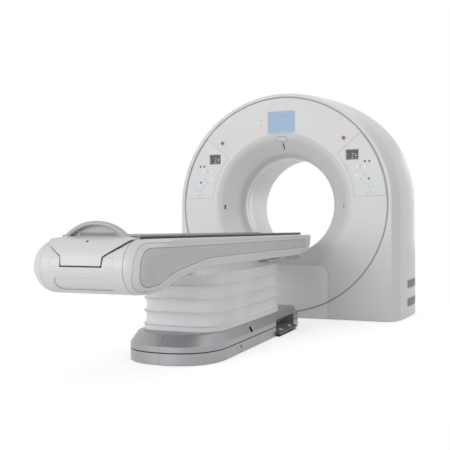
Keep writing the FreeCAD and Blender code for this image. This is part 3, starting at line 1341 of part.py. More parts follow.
def pedal(index):
    """Foot pedal on the right: 0 nearer the gantry, 1 nearer the foot end."""
    start = PEDAL_WELL[0] + 9.0 + index * (PEDAL_LENGTH + 10.0)
    x, z = PEDAL_PIVOT
    outline = [
        (x - 9.0, z - 9.0, 6.0), (x + 30.0, z - 26.0, 10.0), (PEDAL_REACH - 5.0, 10.0, 4.0),
        (PEDAL_REACH, 30.0, 5.0), (x + 20.0, z + 17.0, 12.0), (x - 9.0, z + 11.0, 6.0),
    ]
    body = along_y(outline, ahead(start + PEDAL_LENGTH), ahead(start))
    hole = Part.makeCylinder(PEDAL_PIN_RADIUS + PIN_FIT, PEDAL_LENGTH + 2,
                             V(x, ahead(start + PEDAL_LENGTH + 1), z), V(0, 1, 0))
    return body.cut(hole)


def rounded_plan(half_width, head, foot, corner):
    """Rounded rectangle in (x, y)."""
    return [
        (-half_width, ahead(foot), corner), (half_width, ahead(foot), corner),
        (half_width, ahead(head), corner), (-half_width, ahead(head), corner),
    ]


def bellows_wire(shrink, z):
    plan = rounded_plan(BELLOWS_HALF_WIDTH - shrink, BELLOWS_HEAD + shrink, BELLOWS_FOOT - shrink,
                        BELLOWS_CORNER - shrink / 2.0)
    return wire(plan, lambda u, v: V(u, v, z))


def bellows():
    """Fabric bellows: pointed welts between slightly hollow bands, and a straight hem below."""
    low = PLINTH_TOP + 0.3
    high = BELLOWS_TOP - 0.3
    deep_in = BELLOWS_FOLD_DEPTH
    pitch = (high - low - BELLOWS_HEM) / BELLOWS_FOLDS
    stations = [(low, 4.0), (low + BELLOWS_HEM - 9.0, 6.0)]
    for i in range(BELLOWS_FOLDS):
        z = low + BELLOWS_HEM + i * pitch
        stations += [(z, 0.0), (z + 8.0, deep_in * 0.75), (z + pitch * 0.5, deep_in), (z + pitch - 9.0, deep_in * 0.6)]
    stations.append((high, 2.0))
    outer = Part.makeLoft([bellows_wire(s, z) for z, s in stations], True, True)
    inner = rounded_plan(BELLOWS_HALF_WIDTH - deep_in - BELLOWS_WALL, BELLOWS_HEAD + deep_in + BELLOWS_WALL,
                         BELLOWS_FOOT - deep_in - BELLOWS_WALL, BELLOWS_CORNER - 10.0)
    return outer.cut(along_z(inner, low - 1.0, high + 1.0))


ARM_ANGLE = math.asin((HIGH_PIVOT_HEIGHT - LOW_PIVOT[1]) / ARM_LENGTH)
ARM_RUN = ARM_LENGTH * math.cos(ARM_ANGLE)
LOW_Y = ahead(LOW_PIVOT[0])
SLIDE_Y = LOW_Y + ARM_RUN
MIDDLE = (LOW_Y + ARM_RUN / 2.0, (LOW_PIVOT[1] + HIGH_PIVOT_HEIGHT) / 2.0)


def link_bar(x, start, end):
    """Flat bar with round ends between two (y, z) pivots, on the right."""
    dy, dz = unit(start, end)
    r = ARM_WIDTH / 2.0
    corners = [
        (start[0] - dy * r + dz * r, start[1] - dz * r - dy * r, r - 0.05),
        (end[0] + dy * r + dz * r, end[1] + dz * r - dy * r, r - 0.05),
        (end[0] + dy * r - dz * r, end[1] + dz * r + dy * r, r - 0.05),
        (start[0] - dy * r - dz * r, start[1] - dz * r + dy * r, r - 0.05),
    ]
    return along_x(corners, x, x + ARM_THICKNESS)


def scissor_outer():
    """Outer pair of arms: hinged on the base, sliding under the couch; carries the middle pins."""
    low = (LOW_Y, LOW_PIVOT[1])
    high = (SLIDE_Y, HIGH_PIVOT_HEIGHT)
    bar = link_bar(OUTER_ARM_X, low, high)
    bar = bar.cut(rod_x(PIN_RADIUS + PIN_FIT, low[0], low[1], OUTER_ARM_X - 1, OUTER_ARM_X + ARM_THICKNESS + 1))
    bar = bar.fuse(rod_x(PIN_RADIUS, high[0], high[1], OUTER_ARM_X + ARM_THICKNESS, OUTER_ARM_X + ARM_THICKNESS + 20.0))
    bar = bar.fuse(rod_x(PIN_RADIUS, MIDDLE[0], MIDDLE[1], OUTER_ARM_X, INNER_ARM_X - 2.0))
    tube_at = (low[0] + TUBE_SHARE * ARM_RUN, low[1] + TUBE_SHARE * (high[1] - low[1]))
    tube = rod_x(TUBE_RADIUS, tube_at[0], tube_at[1], -OUTER_ARM_X, OUTER_ARM_X)
    return bar.fuse(mirrored(bar)).fuse(tube).removeSplitter()


def scissor_inner():
    """Inner pair of arms: sliding on the base, hinged under the couch."""
    low = (SLIDE_Y, LOW_PIVOT[1])
    high = (LOW_Y, HIGH_PIVOT_HEIGHT)
    bar = link_bar(INNER_ARM_X, low, high)
    bar = bar.cut(rod_x(PIN_RADIUS + PIN_FIT, high[0], high[1], INNER_ARM_X - 1, INNER_ARM_X + ARM_THICKNESS + 1))
    bar = bar.cut(rod_x(PIN_RADIUS + PIN_FIT, MIDDLE[0], MIDDLE[1], INNER_ARM_X - 1, INNER_ARM_X + ARM_THICKNESS + 1))
    bar = bar.fuse(rod_x(PIN_RADIUS, low[0], low[1], INNER_ARM_X - 22.0, INNER_ARM_X))
    tube_at = (low[0] - TUBE_SHARE * ARM_RUN, low[1] + TUBE_SHARE * (high[1] - low[1]))
    tube = rod_x(TUBE_RADIUS, tube_at[0], tube_at[1], -INNER_ARM_X, INNER_ARM_X)
    return bar.fuse(mirrored(bar)).fuse(tube).removeSplitter()


def pivot_bracket(x0, x1, pin_end, y, z, foot):
    """Upright ear with a fixed pin, standing on or hanging from the height foot."""
    ear = box(x0, x1, y - 30.0, y + 30.0, min(foot, z), max(foot, z))
    ear = ear.fuse(rod_x(30.0, y, z, x0, x1))
    ear = ear.fuse(rod_x(PIN_RADIUS, y, z, x1 if pin_end > x1 else x0, pin_end))
    return both(ear.removeSplitter())


def slide_track(x0, x1, z, foot):
    """Slotted side plate in which an arm's pin slides."""
    down, up = LIFT_TURN
    low_run = ARM_LENGTH * math.cos(ARM_ANGLE - math.radians(down + 0.7))
    high_run = ARM_LENGTH * math.cos(ARM_ANGLE + math.radians(up + 0.7))
    y0 = LOW_Y + high_run - 20.0
    y1 = LOW_Y + low_run + 20.0
    plate = box(x0, x1, y0 - 20.0, y1 + 20.0, min(foot, z - 26.0), max(foot, z + 26.0))
    half = PIN_RADIUS + TRACK_SLOT_CLEARANCE
    return both(plate.cut(box(x0 - 1, x1 + 1, y0, y1, z - half, z + half)))


def base_pivots():
    x0 = OUTER_ARM_X + ARM_THICKNESS + 2.5
    return pivot_bracket(x0, x0 + 16.0, OUTER_ARM_X - 1.0, LOW_Y, LOW_PIVOT[1], COUCH_BASE_THICKNESS)


def base_tracks():
    return slide_track(INNER_ARM_X - 20.0, INNER_ARM_X - 3.0, LOW_PIVOT[1], COUCH_BASE_THICKNESS)


def top_pivots():
    x1 = INNER_ARM_X - 3.0
    return pivot_bracket(x1 - 16.0, x1, INNER_ARM_X + ARM_THICKNESS + 1.0, LOW_Y, HIGH_PIVOT_HEIGHT, BELLOWS_TOP)


def top_tracks():
    x0 = OUTER_ARM_X + ARM_THICKNESS + 3.0
    return slide_track(x0, x0 + 16.0, HIGH_PIVOT_HEIGHT, BELLOWS_TOP)


def lift_drive():
    """Motor, gearbox and lead screw of the lift, along the middle of the couch base."""
    z = 76.0
    y0 = ahead(1780.0)
    motor = Part.makeCylinder(48.0, 180.0, V(0, y0, z), V(0, 1, 0))
    gearbox = box(-62, 62, y0 + 180.0, y0 + 270.0, COUCH_BASE_THICKNESS, z + 46.0)
    screw = Part.makeCylinder(13.0, 520.0, V(0, y0 + 270.0, z), V(0, 1, 0))
    block = box(-40, 40, y0 + 760.0, y0 + 800.0, COUCH_BASE_THICKNESS, z + 34.0)
    cradle = box(-40, 40, y0 + 40.0, y0 + 140.0, COUCH_BASE_THICKNESS, z)
    return motor.fuse([gearbox, screw, block, cradle]).removeSplitter()


# ---------------------------------------------------------------- build
def build_gantry():
    flank = flank_barrel(0.0)
    flank_shell = flank.cut(flank_barrel(COVER_WALL))
    crown = wedge_over_crown(TOP_SEAM_ANGLE, -SEAM / 2)
    right = side_cover(flank_shell)
    grilles = vent_grilles(flank_shell)
    save("front_surround", front_surround())
    save("front_cover", front_cover())
    save("trim_ring", trim_ring())
    save("service_panel", service_panel())
    save("side_cover_right", right)
    save("side_cover_left", mirrored(right))
    save("top_cover", flank_shell.common(crown))
    save("vent_grilles", both(grilles))
    save("rear_cover", rear_cover())
    save("scan_window", scan_window())
    save("rear_funnel", rear_funnel())
    save("control_panels", both(control_panel()))
    save("panel_displays", both(panel_display()))
    save("blue_keys", keys(BLUE_KEYS))
    save("pale_keys", keys(WHITE_KEYS + GREY_KEYS))
    save("display_bezel", display_bezel())
    save("display_screen", display_screen())
    save("status_lights", status_lights())
    save("breathing_guide", breathing_guide())
    save("laser_windows", laser_windows())
    save("stop_switches", stop_switches())
    save("stop_button_right", stop_button())
    save("stop_button_left", mirrored(stop_button()))


def build_gantry_inside():
    save("gantry_base", gantry_base())
    save("stator_frame", stator_frame())
    save("bearing_outer_race", outer_race())
    save("brush_block", brush_block())
    save("cover_brackets", cover_brackets())
    save("bearing_inner_race", inner_race())
    save("rotor_drum", rotor_drum())
    save("xray_tube", xray_tube())
    save("beam_collimator", beam_collimator())
    save("detector_arc", detector_arc())
    save("rotor_cabinets", Part.makeCompound([rotor_unit(*cabinet) for cabinet in CABINETS]))
    save("slip_ring", slip_ring())


def build_couch_frame():
    side = side_cover_of_couch()
    inlay = side_inlay()
    save("couch_sides", both(side))
    save("side_inlays", both(inlay))
    save("end_cap", end_cap())
    save("couch_beam", couch_beam())
    save("under_plate", under_plate())
    save("accessory_rails", accessory_rail())


def build_table():
    save("tabletop", tabletop())
    save("head_extension", head_extension())
    save("table_carriage", table_carriage())
    save("foot_cover", foot_cover())
    save("arch_handle", arch_handle())


def build_couch_base():
    save("couch_base_plate", couch_base_plate())
    save("plinth_skirt", plinth_skirt())
    save("plinth_cover", plinth_cover())
    save("pedal_wells", both(pedal_well()))
    save("pedal_up_right", pedal(0))
    save("pedal_down_right", pedal(1))
    save("pedal_up_left", mirrored(pedal(0)))
    save("pedal_down_left", mirrored(pedal(1)))
    save("bellows", bellows())
    save("scissor_arms_outer", scissor_outer())
    save("scissor_arms_inner", scissor_inner())
    save("lift_base_mounts", Part.makeCompound([base_pivots(), base_tracks()]))
    save("lift_top_mounts", Part.makeCompound([top_pivots(), top_tracks()]))
    save("lift_drive", lift_drive())


os.makedirs("parts", exist_ok=True)
build_gantry()
build_gantry_inside()
build_couch_frame()
build_table()
build_couch_base()
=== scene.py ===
# %% [markdown]
# A computed tomography scanner: a ring gantry with a funnel mouth, and a patient couch that a
# scissor lift carries inside cloth bellows. The solids come from the CAD frame, and each piece
# drawn below takes the place of one or stands on it. Lengths are metres, Z is up, the bore runs
# along Y and the couch lies at low Y.

# %% Load the frame
import math
import bpy
import bmesh
import numpy as np
from mathutils import Matrix, Vector


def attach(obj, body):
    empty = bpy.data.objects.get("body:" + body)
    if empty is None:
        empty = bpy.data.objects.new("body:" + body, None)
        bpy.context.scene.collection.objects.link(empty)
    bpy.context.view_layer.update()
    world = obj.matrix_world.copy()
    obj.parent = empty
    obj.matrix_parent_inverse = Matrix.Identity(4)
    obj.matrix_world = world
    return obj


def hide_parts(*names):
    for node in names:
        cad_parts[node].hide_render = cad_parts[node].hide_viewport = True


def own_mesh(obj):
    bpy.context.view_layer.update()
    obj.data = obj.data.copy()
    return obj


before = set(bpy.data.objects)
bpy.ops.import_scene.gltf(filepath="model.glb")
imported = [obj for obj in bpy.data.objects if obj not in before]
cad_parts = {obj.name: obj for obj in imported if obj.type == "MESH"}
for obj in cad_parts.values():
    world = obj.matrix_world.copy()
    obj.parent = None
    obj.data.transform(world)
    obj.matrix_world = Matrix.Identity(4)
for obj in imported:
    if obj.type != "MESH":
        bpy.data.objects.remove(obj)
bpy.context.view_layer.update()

# %% [markdown]
# The camera stands in front of the gantry and right of the couch, level, turned 18 degrees to the
# left of the bore axis. A camera could be tilted until the picture looks right, but upright edges
# would then lean. The picture is a crop of a wider one, so the lens is shifted instead.

# %% Camera
camera_data = bpy.data.cameras.new("camera")
camera_data.sensor_width = 36.0
camera_data.lens = 50.51
camera_data.shift_x = -0.1624
camera_data.shift_y = 0.0085
camera_data.clip_end = 200.0
camera = bpy.data.objects.new("camera", camera_data)
bpy.context.collection.objects.link(camera)
camera.location = (1.9758, -5.8682, 0.8212)
camera.rotation_euler = (math.radians(90), 0, math.radians(18.168))
bpy.context.scene.camera = camera
bpy.context.scene.view_settings.view_transform = "Standard"
print("camera at", tuple(camera.location))

# %% [markdown]
# A soft studio. One very large light far in front makes the even tone of a catalogue picture, and
# three weak ones lift the crown, the right flank and the inside of the bore. A sun lamp would be
# simpler, but its hard shadows don't suit white covers.

# %% Lights
def area_light(name, place, target, size, power):
    """Rectangular lamp that looks from its place at a target."""
    data = bpy.data.lights.new(name, "AREA")
    data.shape = "RECTANGLE"
    data.size, data.size_y = size
    data.energy = power
    light = bpy.data.objects.new(name, data)
    light.location = place
    light.rotation_euler = (Vector(target) - Vector(place)).to_track_quat("-Z", "Y").to_euler()
    bpy.context.collection.objects.link(light)


area_light("key", (-4.5, -14.0, 3.6), (0.0, -1.4, 0.8), (10.0, 7.0), 700)
area_light("top", (0.8, 1.4, 5.0), (0.2, 0.2, 0.6), (4.0, 3.0), 32)
area_light("fill", (5.2, -3.4, 4.6), (0.4, -0.4, 1.3), (3.0, 3.0), 36)
area_light("back", (1.3, 5.2, 1.6), (-0.3, 0.2, 1.0), (2.4, 2.2), 20)
print("lights: key, top, fill and back")

# %% [markdown]
# World, floor and finishes are all node trees. Blender's own calls for them are long, so three
# short tools make a node, its links and a blend of two shaders. A fourth tells what the eye sees,
# directly or in a mirror, from what only lights the object. Clicking the trees together in the
# editor would be quicker once, but could not be read here.

# %% Node tools
def node(tree, kind, operation=None, **values):
    """New shader node with values for its inputs, an underscore standing for a space."""
    made = tree.nodes.new("ShaderNode" + kind)
    if operation:
        made.operation = operation
    for name, value in values.items():
        made.inputs[name.replace("_", " ")].default_value = value
    return made


def wire(tree, *pairs):
    """Links from an output to an input."""
    for source, target in pairs:
        tree.links.new(source, target)


def blend(tree, share, first, second):
    """The first shader where the share is 0, the second where it is 1."""
    mix = node(tree, "MixShader")
    wire(tree, (share, mix.inputs[0]), (first.outputs[0], mix.inputs[1]), (second.outputs[0], mix.inputs[2]))
    return mix


def eye_or_mirror(tree):
    """1 for a ray from the eye, off a glossy surface or through a clear one, else 0."""
    path = node(tree, "LightPath")
    largest = path.outputs["Is Camera Ray"]
    for kind in ("Is Glossy Ray", "Is Transmission Ray"):
        either = node(tree, "Math", "MAXIMUM")
        wire(tree, (largest, either.inputs[0]), (path.outputs[kind], either.inputs[1]))
        largest = either.outputs[0]
    return largest


def empty_tree(owner):
    """Node tree of a world or a material, emptied."""
    owner.use_nodes = True
    owner.node_tree.nodes.clear()
    return owner.node_tree


print("tools: nodes, links, blends")

# %% [markdown]
# The surroundings are white to the eye and in mirrors, and a softer grey as light on the object:
# a brighter world would wash its colours out. The floor is matte near the object, so that it
# keeps the shadow, and turns to plain white further out, so that no horizon shows. A sheet
# curved up behind the object would do the same, but only from one side.

# %% World and floor
def studio_world(grey):
    """White where the eye or a mirror looks past the object, the grey as light on it."""
    world = bpy.data.worlds.new("studio")
    bpy.context.scene.world = world
    tree = empty_tree(world)
    cast = node(tree, "Background", Color=(grey, grey, grey, 1))
    seen = node(tree, "Background", Color=(1, 1, 1, 1))
    out = node(tree, "OutputWorld")
    wire(tree, (blend(tree, eye_or_mirror(tree), cast, seen).outputs[0], out.inputs["Surface"]))


def studio_floor(radius=40, steps=96):
    """A disc around the object: matte inside an oval, white light outside it."""
    angles = np.arange(steps) * 2 * np.pi / steps
    rim = np.stack([radius * np.cos(angles), radius * np.sin(angles), np.zeros(steps)], axis=1)
    mesh = bpy.data.meshes.new("floor")
    mesh.from_pydata(rim.tolist(), [], [list(range(steps))])
    floor = bpy.data.objects.new("floor", mesh)
    bpy.context.collection.objects.link(floor)
    material = bpy.data.materials.new("floor")
    mesh.materials.append(material)
    tree = empty_tree(material)
    coords = node(tree, "TexCoord")
    oval = node(tree, "Mapping", Location=(0, 0.35, 0), Scale=(0.4, 0.28, 1))
    away = node(tree, "VectorMath", "LENGTH")
    fade = node(tree, "MapRange", From_Min=0.55, From_Max=1.0)
    fade.interpolation_type = "SMOOTHSTEP"
    matte = node(tree, "BsdfDiffuse", Color=(0.86, 0.86, 0.86, 1))
    white = node(tree, "Emission", Color=(1, 1, 1, 1))
    lift = node(tree, "Emission", Color=(1, 1, 1, 1), Strength=0.46)
    nothing = node(tree, "Emission", Strength=0.0)
    eye = eye_or_mirror(tree)
    near = node(tree, "AddShader")
    far = node(tree, "Math", "MULTIPLY")
    out = node(tree, "OutputMaterial")
    wire(tree, (coords.outputs["Object"], oval.inputs["Vector"]), (oval.outputs["Vector"], away.inputs[0]),
         (away.outputs["Value"], fade.inputs["Value"]), (fade.outputs["Result"], far.inputs[0]),
         (eye, far.inputs[1]), (matte.outputs[0], near.inputs[0]),
         (blend(tree, eye, nothing, lift).outputs[0], near.inputs[1]))
    wire(tree, (blend(tree, far.outputs[0], near, white).outputs[0], out.inputs["Surface"]))


studio_world(0.53)
studio_floor()
print("studio: world and floor")

# %% [markdown]
# The finishes. Real covers are spray-painted moulded plastic, the plinth is brushed sheet metal,
# the keys are glossy caps. A flat colour would look like a drawing, so one recipe makes them all:
# a base colour that drifts a little over the surface, a roughness that drifts too, and a fine
# grain as bump. Its patterns are noise on Object coordinates, sized in metres, so that the grain
# has its real size on every piece and doesn't stretch over curved ones.

# %% Recipe of a finish
NOISE_BAND = (0.35, 0.65)       # where most of a noise texture's values lie


def noise(tree, size, detail=4.0):
    """Noise whose largest spots have the given size."""
    coords = node(tree, "TexCoord")
    scale = node(tree, "Mapping", Scale=(1 / size, 1 / size, 1 / size))
    pattern = node(tree, "TexNoise", Scale=1.0, Detail=detail)
    wire(tree, (coords.outputs["Object"], scale.inputs["Vector"]),
         (scale.outputs["Vector"], pattern.inputs["Vector"]))
    return pattern.outputs["Fac"]


def spread(tree, value, low, high):
    """Carry a noise value from its usual band to low and high."""
    span = node(tree, "MapRange", From_Min=NOISE_BAND[0], From_Max=NOISE_BAND[1], To_Min=low, To_Max=high)
    wire(tree, (value, span.inputs["Value"]))
    return span.outputs["Result"]


def finish(name, colour, roughness, metallic=0.0, coat=0.0, grain=0.0012, bump=0.06, blotch=0.25, shade=0.03):
    """Painted, moulded or machined: colour within +-shade, roughness within +-0.04, grain as bump."""
    material = bpy.data.materials.new(name)
    material.use_nodes = True
    tree = material.node_tree
    shader = tree.nodes["Principled BSDF"]
    shader.inputs["Metallic"].default_value = metallic
    shader.inputs["Coat Weight"].default_value = coat
    shader.inputs["Coat Roughness"].default_value = 0.12
    tint = tree.nodes.new("ShaderNodeMix")
    tint.data_type = "RGBA"
    dark_end, light_end, mixed = tint.inputs[6], tint.inputs[7], tint.outputs[2]
    dark_end.default_value = (*(c * (1 - shade) for c in colour), 1)
    light_end.default_value = (*(min(1.0, c * (1 + shade)) for c in colour), 1)
    surface = node(tree, "Bump", Strength=bump, Distance=0.0004)
    rough = spread(tree, noise(tree, blotch / 5), roughness - 0.04, roughness + 0.04)
    wire(tree, (spread(tree, noise(tree, blotch), 0.0, 1.0), tint.inputs[0]),
         (mixed, shader.inputs["Base Color"]), (rough, shader.inputs["Roughness"]),
         (noise(tree, grain, 2.0), surface.inputs["Height"]),
         (surface.outputs["Normal"], shader.inputs["Normal"]))
    return material


print("recipe: noise between", NOISE_BAND, "drives colour, roughness and grain")

# %% [markdown]
# The list of finishes: colour, roughness, and what departs from the recipe. Colours are written as
# they look in even light. Names without a piece of their own below belong to solids of the frame.

# %% List of finishes
PAINT = dict(coat=0.1, shade=0.015)
COVER = dict(coat=0.1, shade=0.012)
CAP = dict(coat=0.3, blotch=0.02)
LENS = dict(coat=0.6, grain=0.03, bump=0.01, shade=0.05)
FINISHES = {
    "frame_steel": ((0.33, 0.35, 0.38), 0.42, dict(metallic=0.2, coat=0.2)),
    "bearing_steel": ((0.55, 0.55, 0.56), 0.28, dict(metallic=1.0, blotch=0.1)),
    # dark_trim on the pieces below is painted shade: table edge strips, flank slots, backs of the plinth's
    # openings, the foot cover's hole
    "dark_trim": ((0.05, 0.05, 0.055), 0.45, {}),
    # gap_black is painted shade: the black strips down in the couch's gap and the plinth's gap
    "gap_black": ((0.010, 0.010, 0.011), 0.6, {}),
    "gantry_white": ((0.67, 0.67, 0.67), 0.38, dict(coat=0.15, shade=0.012)),
    "couch_white": ((0.67, 0.67, 0.665), 0.40, dict(coat=0.12, shade=0.012)),
    "funnel_grey": ((0.74, 0.74, 0.73), 0.40, COVER),
    "liner_white": ((0.84, 0.835, 0.815), 0.34, COVER),
    "warm_grey": ((0.80, 0.80, 0.775), 0.40, PAINT),
    "ring_grey": ((0.36, 0.36, 0.37), 0.35, dict(coat=0.1)),
    "panel_grey": ((0.60, 0.61, 0.61), 0.40, {}),
    "panel_white": ((0.66, 0.66, 0.66), 0.34, dict(coat=0.2, shade=0.012)),
    "vent_grey": ((0.50, 0.50, 0.49), 0.5, {}),
    "window_film": ((0.80, 0.795, 0.77), 0.30, dict(bump=0.02)),
    "bezel_grey": ((0.55, 0.56, 0.57), 0.38, dict(coat=0.1)),
    "screen_glass": ((0.27, 0.42, 0.59), 0.25, dict(bump=0.0, blotch=0.1)),
    "panel_glass": ((0.012, 0.015, 0.028), 0.3, dict(bump=0.0, blotch=0.05)),
    "mark_cream": ((0.62, 0.58, 0.48), 0.5, dict(blotch=0.01)),
    "mark_pale": ((0.76, 0.77, 0.78), 0.5, dict(blotch=0.01)),
    "mark_sky": ((0.38, 0.52, 0.67), 0.3, dict(blotch=0.02)),
    "key_blue": ((0.25, 0.62, 0.90), 0.3, CAP),
    "key_pale": ((0.86, 0.82, 0.83), 0.3, CAP),
    "key_grey": ((0.10, 0.10, 0.12), 0.3, CAP),
    "lamp_lens": ((0.42, 0.72, 0.50), 0.06, LENS),
    "lamp_grey": ((0.25, 0.25, 0.26), 0.06, LENS),
    "gasket_grey": ((0.28, 0.28, 0.29), 0.5, dict(blotch=0.02)),
    "pill_white": ((0.72, 0.72, 0.72), 0.28, dict(coat=0.3, bump=0.02, blotch=0.05)),
    "laser_lens": ((0.03, 0.03, 0.03), 0.06, LENS),
    "laser_amber": ((0.10, 0.055, 0.035), 0.06, LENS),
    "laser_pale": ((0.46, 0.45, 0.42), 0.06, LENS),
    "collar_pale": ((0.70, 0.68, 0.62), 0.4, dict(blotch=0.02)),
    "stop_red": ((0.34, 0.045, 0.045), 0.34, dict(coat=0.3, blotch=0.03)),
    "screw_grey": ((0.35, 0.35, 0.36), 0.4, dict(metallic=0.6, blotch=0.01)),
    "rotor_alloy": ((0.60, 0.61, 0.62), 0.34, dict(metallic=0.9, blotch=0.2)),
    "tube_housing": ((0.45, 0.46, 0.48), 0.40, dict(metallic=0.5, blotch=0.1)),
    "slip_track": ((0.55, 0.42, 0.22), 0.30, dict(metallic=0.9, blotch=0.05)),
    "plinth_metal": ((0.36, 0.363, 0.375), 0.36, dict(metallic=0.7, bump=0.012, blotch=0.3)),
    "bellows_fabric": ((0.78, 0.785, 0.80), 0.62, dict(grain=0.0015, bump=0.2)),
    "pedal_dark": ((0.12, 0.12, 0.125), 0.55, dict(grain=0.002, bump=0.15)),
    "couch_alloy": ((0.55, 0.56, 0.57), 0.38, dict(metallic=0.8)),
    "couch_grey": ((0.52, 0.525, 0.53), 0.42, PAINT),
    "inlay_grey": ((0.55, 0.555, 0.56), 0.45, dict(shade=0.015)),
    "handle_grey": ((0.42, 0.42, 0.43), 0.38, PAINT),
    "web_grey": ((0.44, 0.44, 0.44), 0.45, dict(shade=0.015)),
    # slot_grey is partly painted shade: on the microphone hole and on the strip under the handle
    "slot_grey": ((0.25, 0.25, 0.24), 0.5, dict(shade=0.02)),
    "line_grey": ((0.38, 0.38, 0.38), 0.5, dict(shade=0.02)),
    "rail_steel": ((0.50, 0.47, 0.43), 0.30, dict(metallic=1.0, blotch=0.05)),
    "table_shell": ((0.25, 0.253, 0.26), 0.40, dict(coat=0.1)),
    "tip_dark": ((0.12, 0.12, 0.125), 0.45, {}),
}
MATERIALS = {name: finish(name, colour, rough, **rest) for name, (colour, rough, rest) in FINISHES.items()}
print("materials:", len(MATERIALS))

# %% [markdown]
# Surfaces. Most covers here are thin moulded shells. Modelling one by hand means pushing vertices
# about until it looks smooth; here a surface is a grid of points that numpy works out at once
# from two parameters. A shell is an outer and an inner grid, joined along their borders, and so
# a closed solid with a real wall.

# %% Grids and shells
def grid_faces(rows, cols, start=0, wrap=False, closed=False):
    """Quads of a grid stored row by row; wrap joins last column to first, closed last row to first."""
    i = np.arange(rows if closed else rows - 1)[:, None]
    j = np.arange(cols if wrap else cols - 1)[None, :]
    below, beside = (i + 1) % rows, (j + 1) % cols
    quads = np.stack([i * cols + j, i * cols + beside, below * cols + beside, below * cols + j], axis=-1)
    return quads.reshape(-1, 4) + start


def shell(outer, inner, wrap=False):
    """Closed solid between two grids of the same shape."""
    rows, cols = outer.shape[:2]
    n = rows * cols
    faces = [grid_faces(rows, cols, 0, wrap), grid_faces(rows, cols, n, wrap)]
    lines = [np.arange(cols), (rows - 1) * cols + np.arange(cols)]
    if wrap:
        lines = [np.append(line, line[0]) for line in lines]
    else:
        lines += [np.arange(rows) * cols, np.arange(rows) * cols + cols - 1]
    for line in lines:
        a, b = line[:-1], line[1:]
        faces.append(np.stack([a, b, b + n, a + n], axis=-1))
    return np.concatenate([outer.reshape(-1, 3), inner.reshape(-1, 3)]), np.concatenate(faces)


def capped(rings):
    """Closed solid from a stack of rings of points, a flat face on either end."""
    grid = np.array(rings)
    rows, cols = grid.shape[:2]
    ends = [list(range(cols)), list(range((rows - 1) * cols, rows * cols))]
    return grid.reshape(-1, 3), grid_faces(rows, cols, wrap=True).tolist() + ends


def linked(name, mesh):
    """Object with this mesh, put into the scene."""
    thing = bpy.data.objects.new(name, mesh)
    bpy.context.collection.objects.link(thing)
    return thing


def make(name, shape, merge=0.0):
    """Object from points and faces, its faces turned outwards."""
    points, faces = shape
    mesh = bpy.data.meshes.new(name)
    mesh.from_pydata(np.asarray(points, float).tolist(), [], [list(map(int, f)) for f in faces])
    solid = bmesh.new()
    solid.from_mesh(mesh)
    if merge:
        bmesh.ops.remove_doubles(solid, verts=solid.verts, dist=merge)
    bmesh.ops.recalc_face_normals(solid, faces=solid.faces)
    solid.to_mesh(mesh)
    solid.free()
    return linked(name, mesh)


print("tools: grids and shells")

# %% [markdown]
# Turned pieces and prisms. The ring, the funnel and every round cap are turned on a lathe in
# effect: a profile carried round an axis, $x = r\cos a,\ z = z_0 + r\sin a$. Plates, windows and
# the couch's flat parts are prisms: an outline with rounded corners, carried along one axis. A
# cylinder or cube with a bevel would be quicker, but couldn't take the real outlines.

# %% Turned pieces and prisms
ISO = 1.046                     # height of the bore axis
FACE = -0.35                    # y of the gantry's front face
FIT = 0.0004                    # play round a piece let into another


def deep(depth):
    """y of a plane behind the gantry's face."""
    return FACE + depth


def ahead(distance):
    """y of a plane in front of the gantry's face."""
    return FACE - distance


def turned(profile, steps, centre=(0.0, ISO), axis="y"):
    """Closed (radius, along) profile carried round an axis through the centre."""
    profile = np.asarray(profile, float)
    a = np.arange(steps) * 2 * np.pi / steps
    r = profile[None, :, 0]
    along = np.broadcast_to(profile[None, :, 1], (steps, len(profile)))
    u = centre[0] + r * np.cos(a)[:, None]
    v = centre[1] + r * np.sin(a)[:, None]
    order = {"y": (u, along, v), "x": (along, u, v)}[axis]
    return np.stack(order, axis=-1).reshape(-1, 3), grid_faces(steps, len(profile), wrap=True, closed=True)


print("tools: turning")

# %% [markdown]
# Outlines. A flat shape is a list of corners, each with its own radius. A corner between two unit
# directions that meet at the angle $a$ begins its arc $r \tan(a/2)$ before the corner, and its
# centre lies $r / \cos(a/2)$ from it. A bevel modifier rounds every edge alike, while a drawn
# outline keeps the radius that each corner has on the real part.

# %% Outlines and prisms
def bend(before, corner, after):
    """Unit directions into and out of a corner, and their cross product: above 0 for a left turn."""
    a, b, c = (np.array(p[:2], float) for p in (before, corner, after))
    first = (b - a) / np.linalg.norm(b - a)
    second = (c - b) / np.linalg.norm(c - b)
    return b, first, second, first[0] * second[1] - first[1] * second[0]


def rounded(outline, steps=8):
    """Closed outline of corners (u, v, radius) as points, each corner an arc of some steps."""
    points = []
    count = len(outline)
    for i, corner in enumerate(outline):
        radius = corner[2]
        if radius == 0:
            points.append((float(corner[0]), float(corner[1])))
            continue
        b, first, second, cross = bend(outline[i - 1], corner, outline[(i + 1) % count])
        angle = math.acos(max(-1.0, min(1.0, float(first @ second))))
        middle = (second - first) / np.linalg.norm(second - first)
        centre = b + middle * radius / math.cos(angle / 2)
        start = b - first * radius * math.tan(angle / 2) - centre
        for part in np.linspace(0, angle if cross > 0 else -angle, steps + 1):
            co, si = math.cos(part), math.sin(part)
            points.append((centre[0] + start[0] * co - start[1] * si,
                           centre[1] + start[0] * si + start[1] * co))
    return points


def box(u0, u1, v0, v1, corner=0):
    """Corners of a rectangle between two values each way."""
    return [(u0, v0, corner), (u1, v0, corner), (u1, v1, corner), (u0, v1, corner)]


def slab(u, v, width, height, corner=0):
    """Corners of a rectangle round a middle."""
    return box(u - width / 2, u + width / 2, v - height / 2, v + height / 2, corner)


def flip(points):
    """The outline on the other side of the centre plane."""
    return [(-p[0], *p[1:]) for p in points]


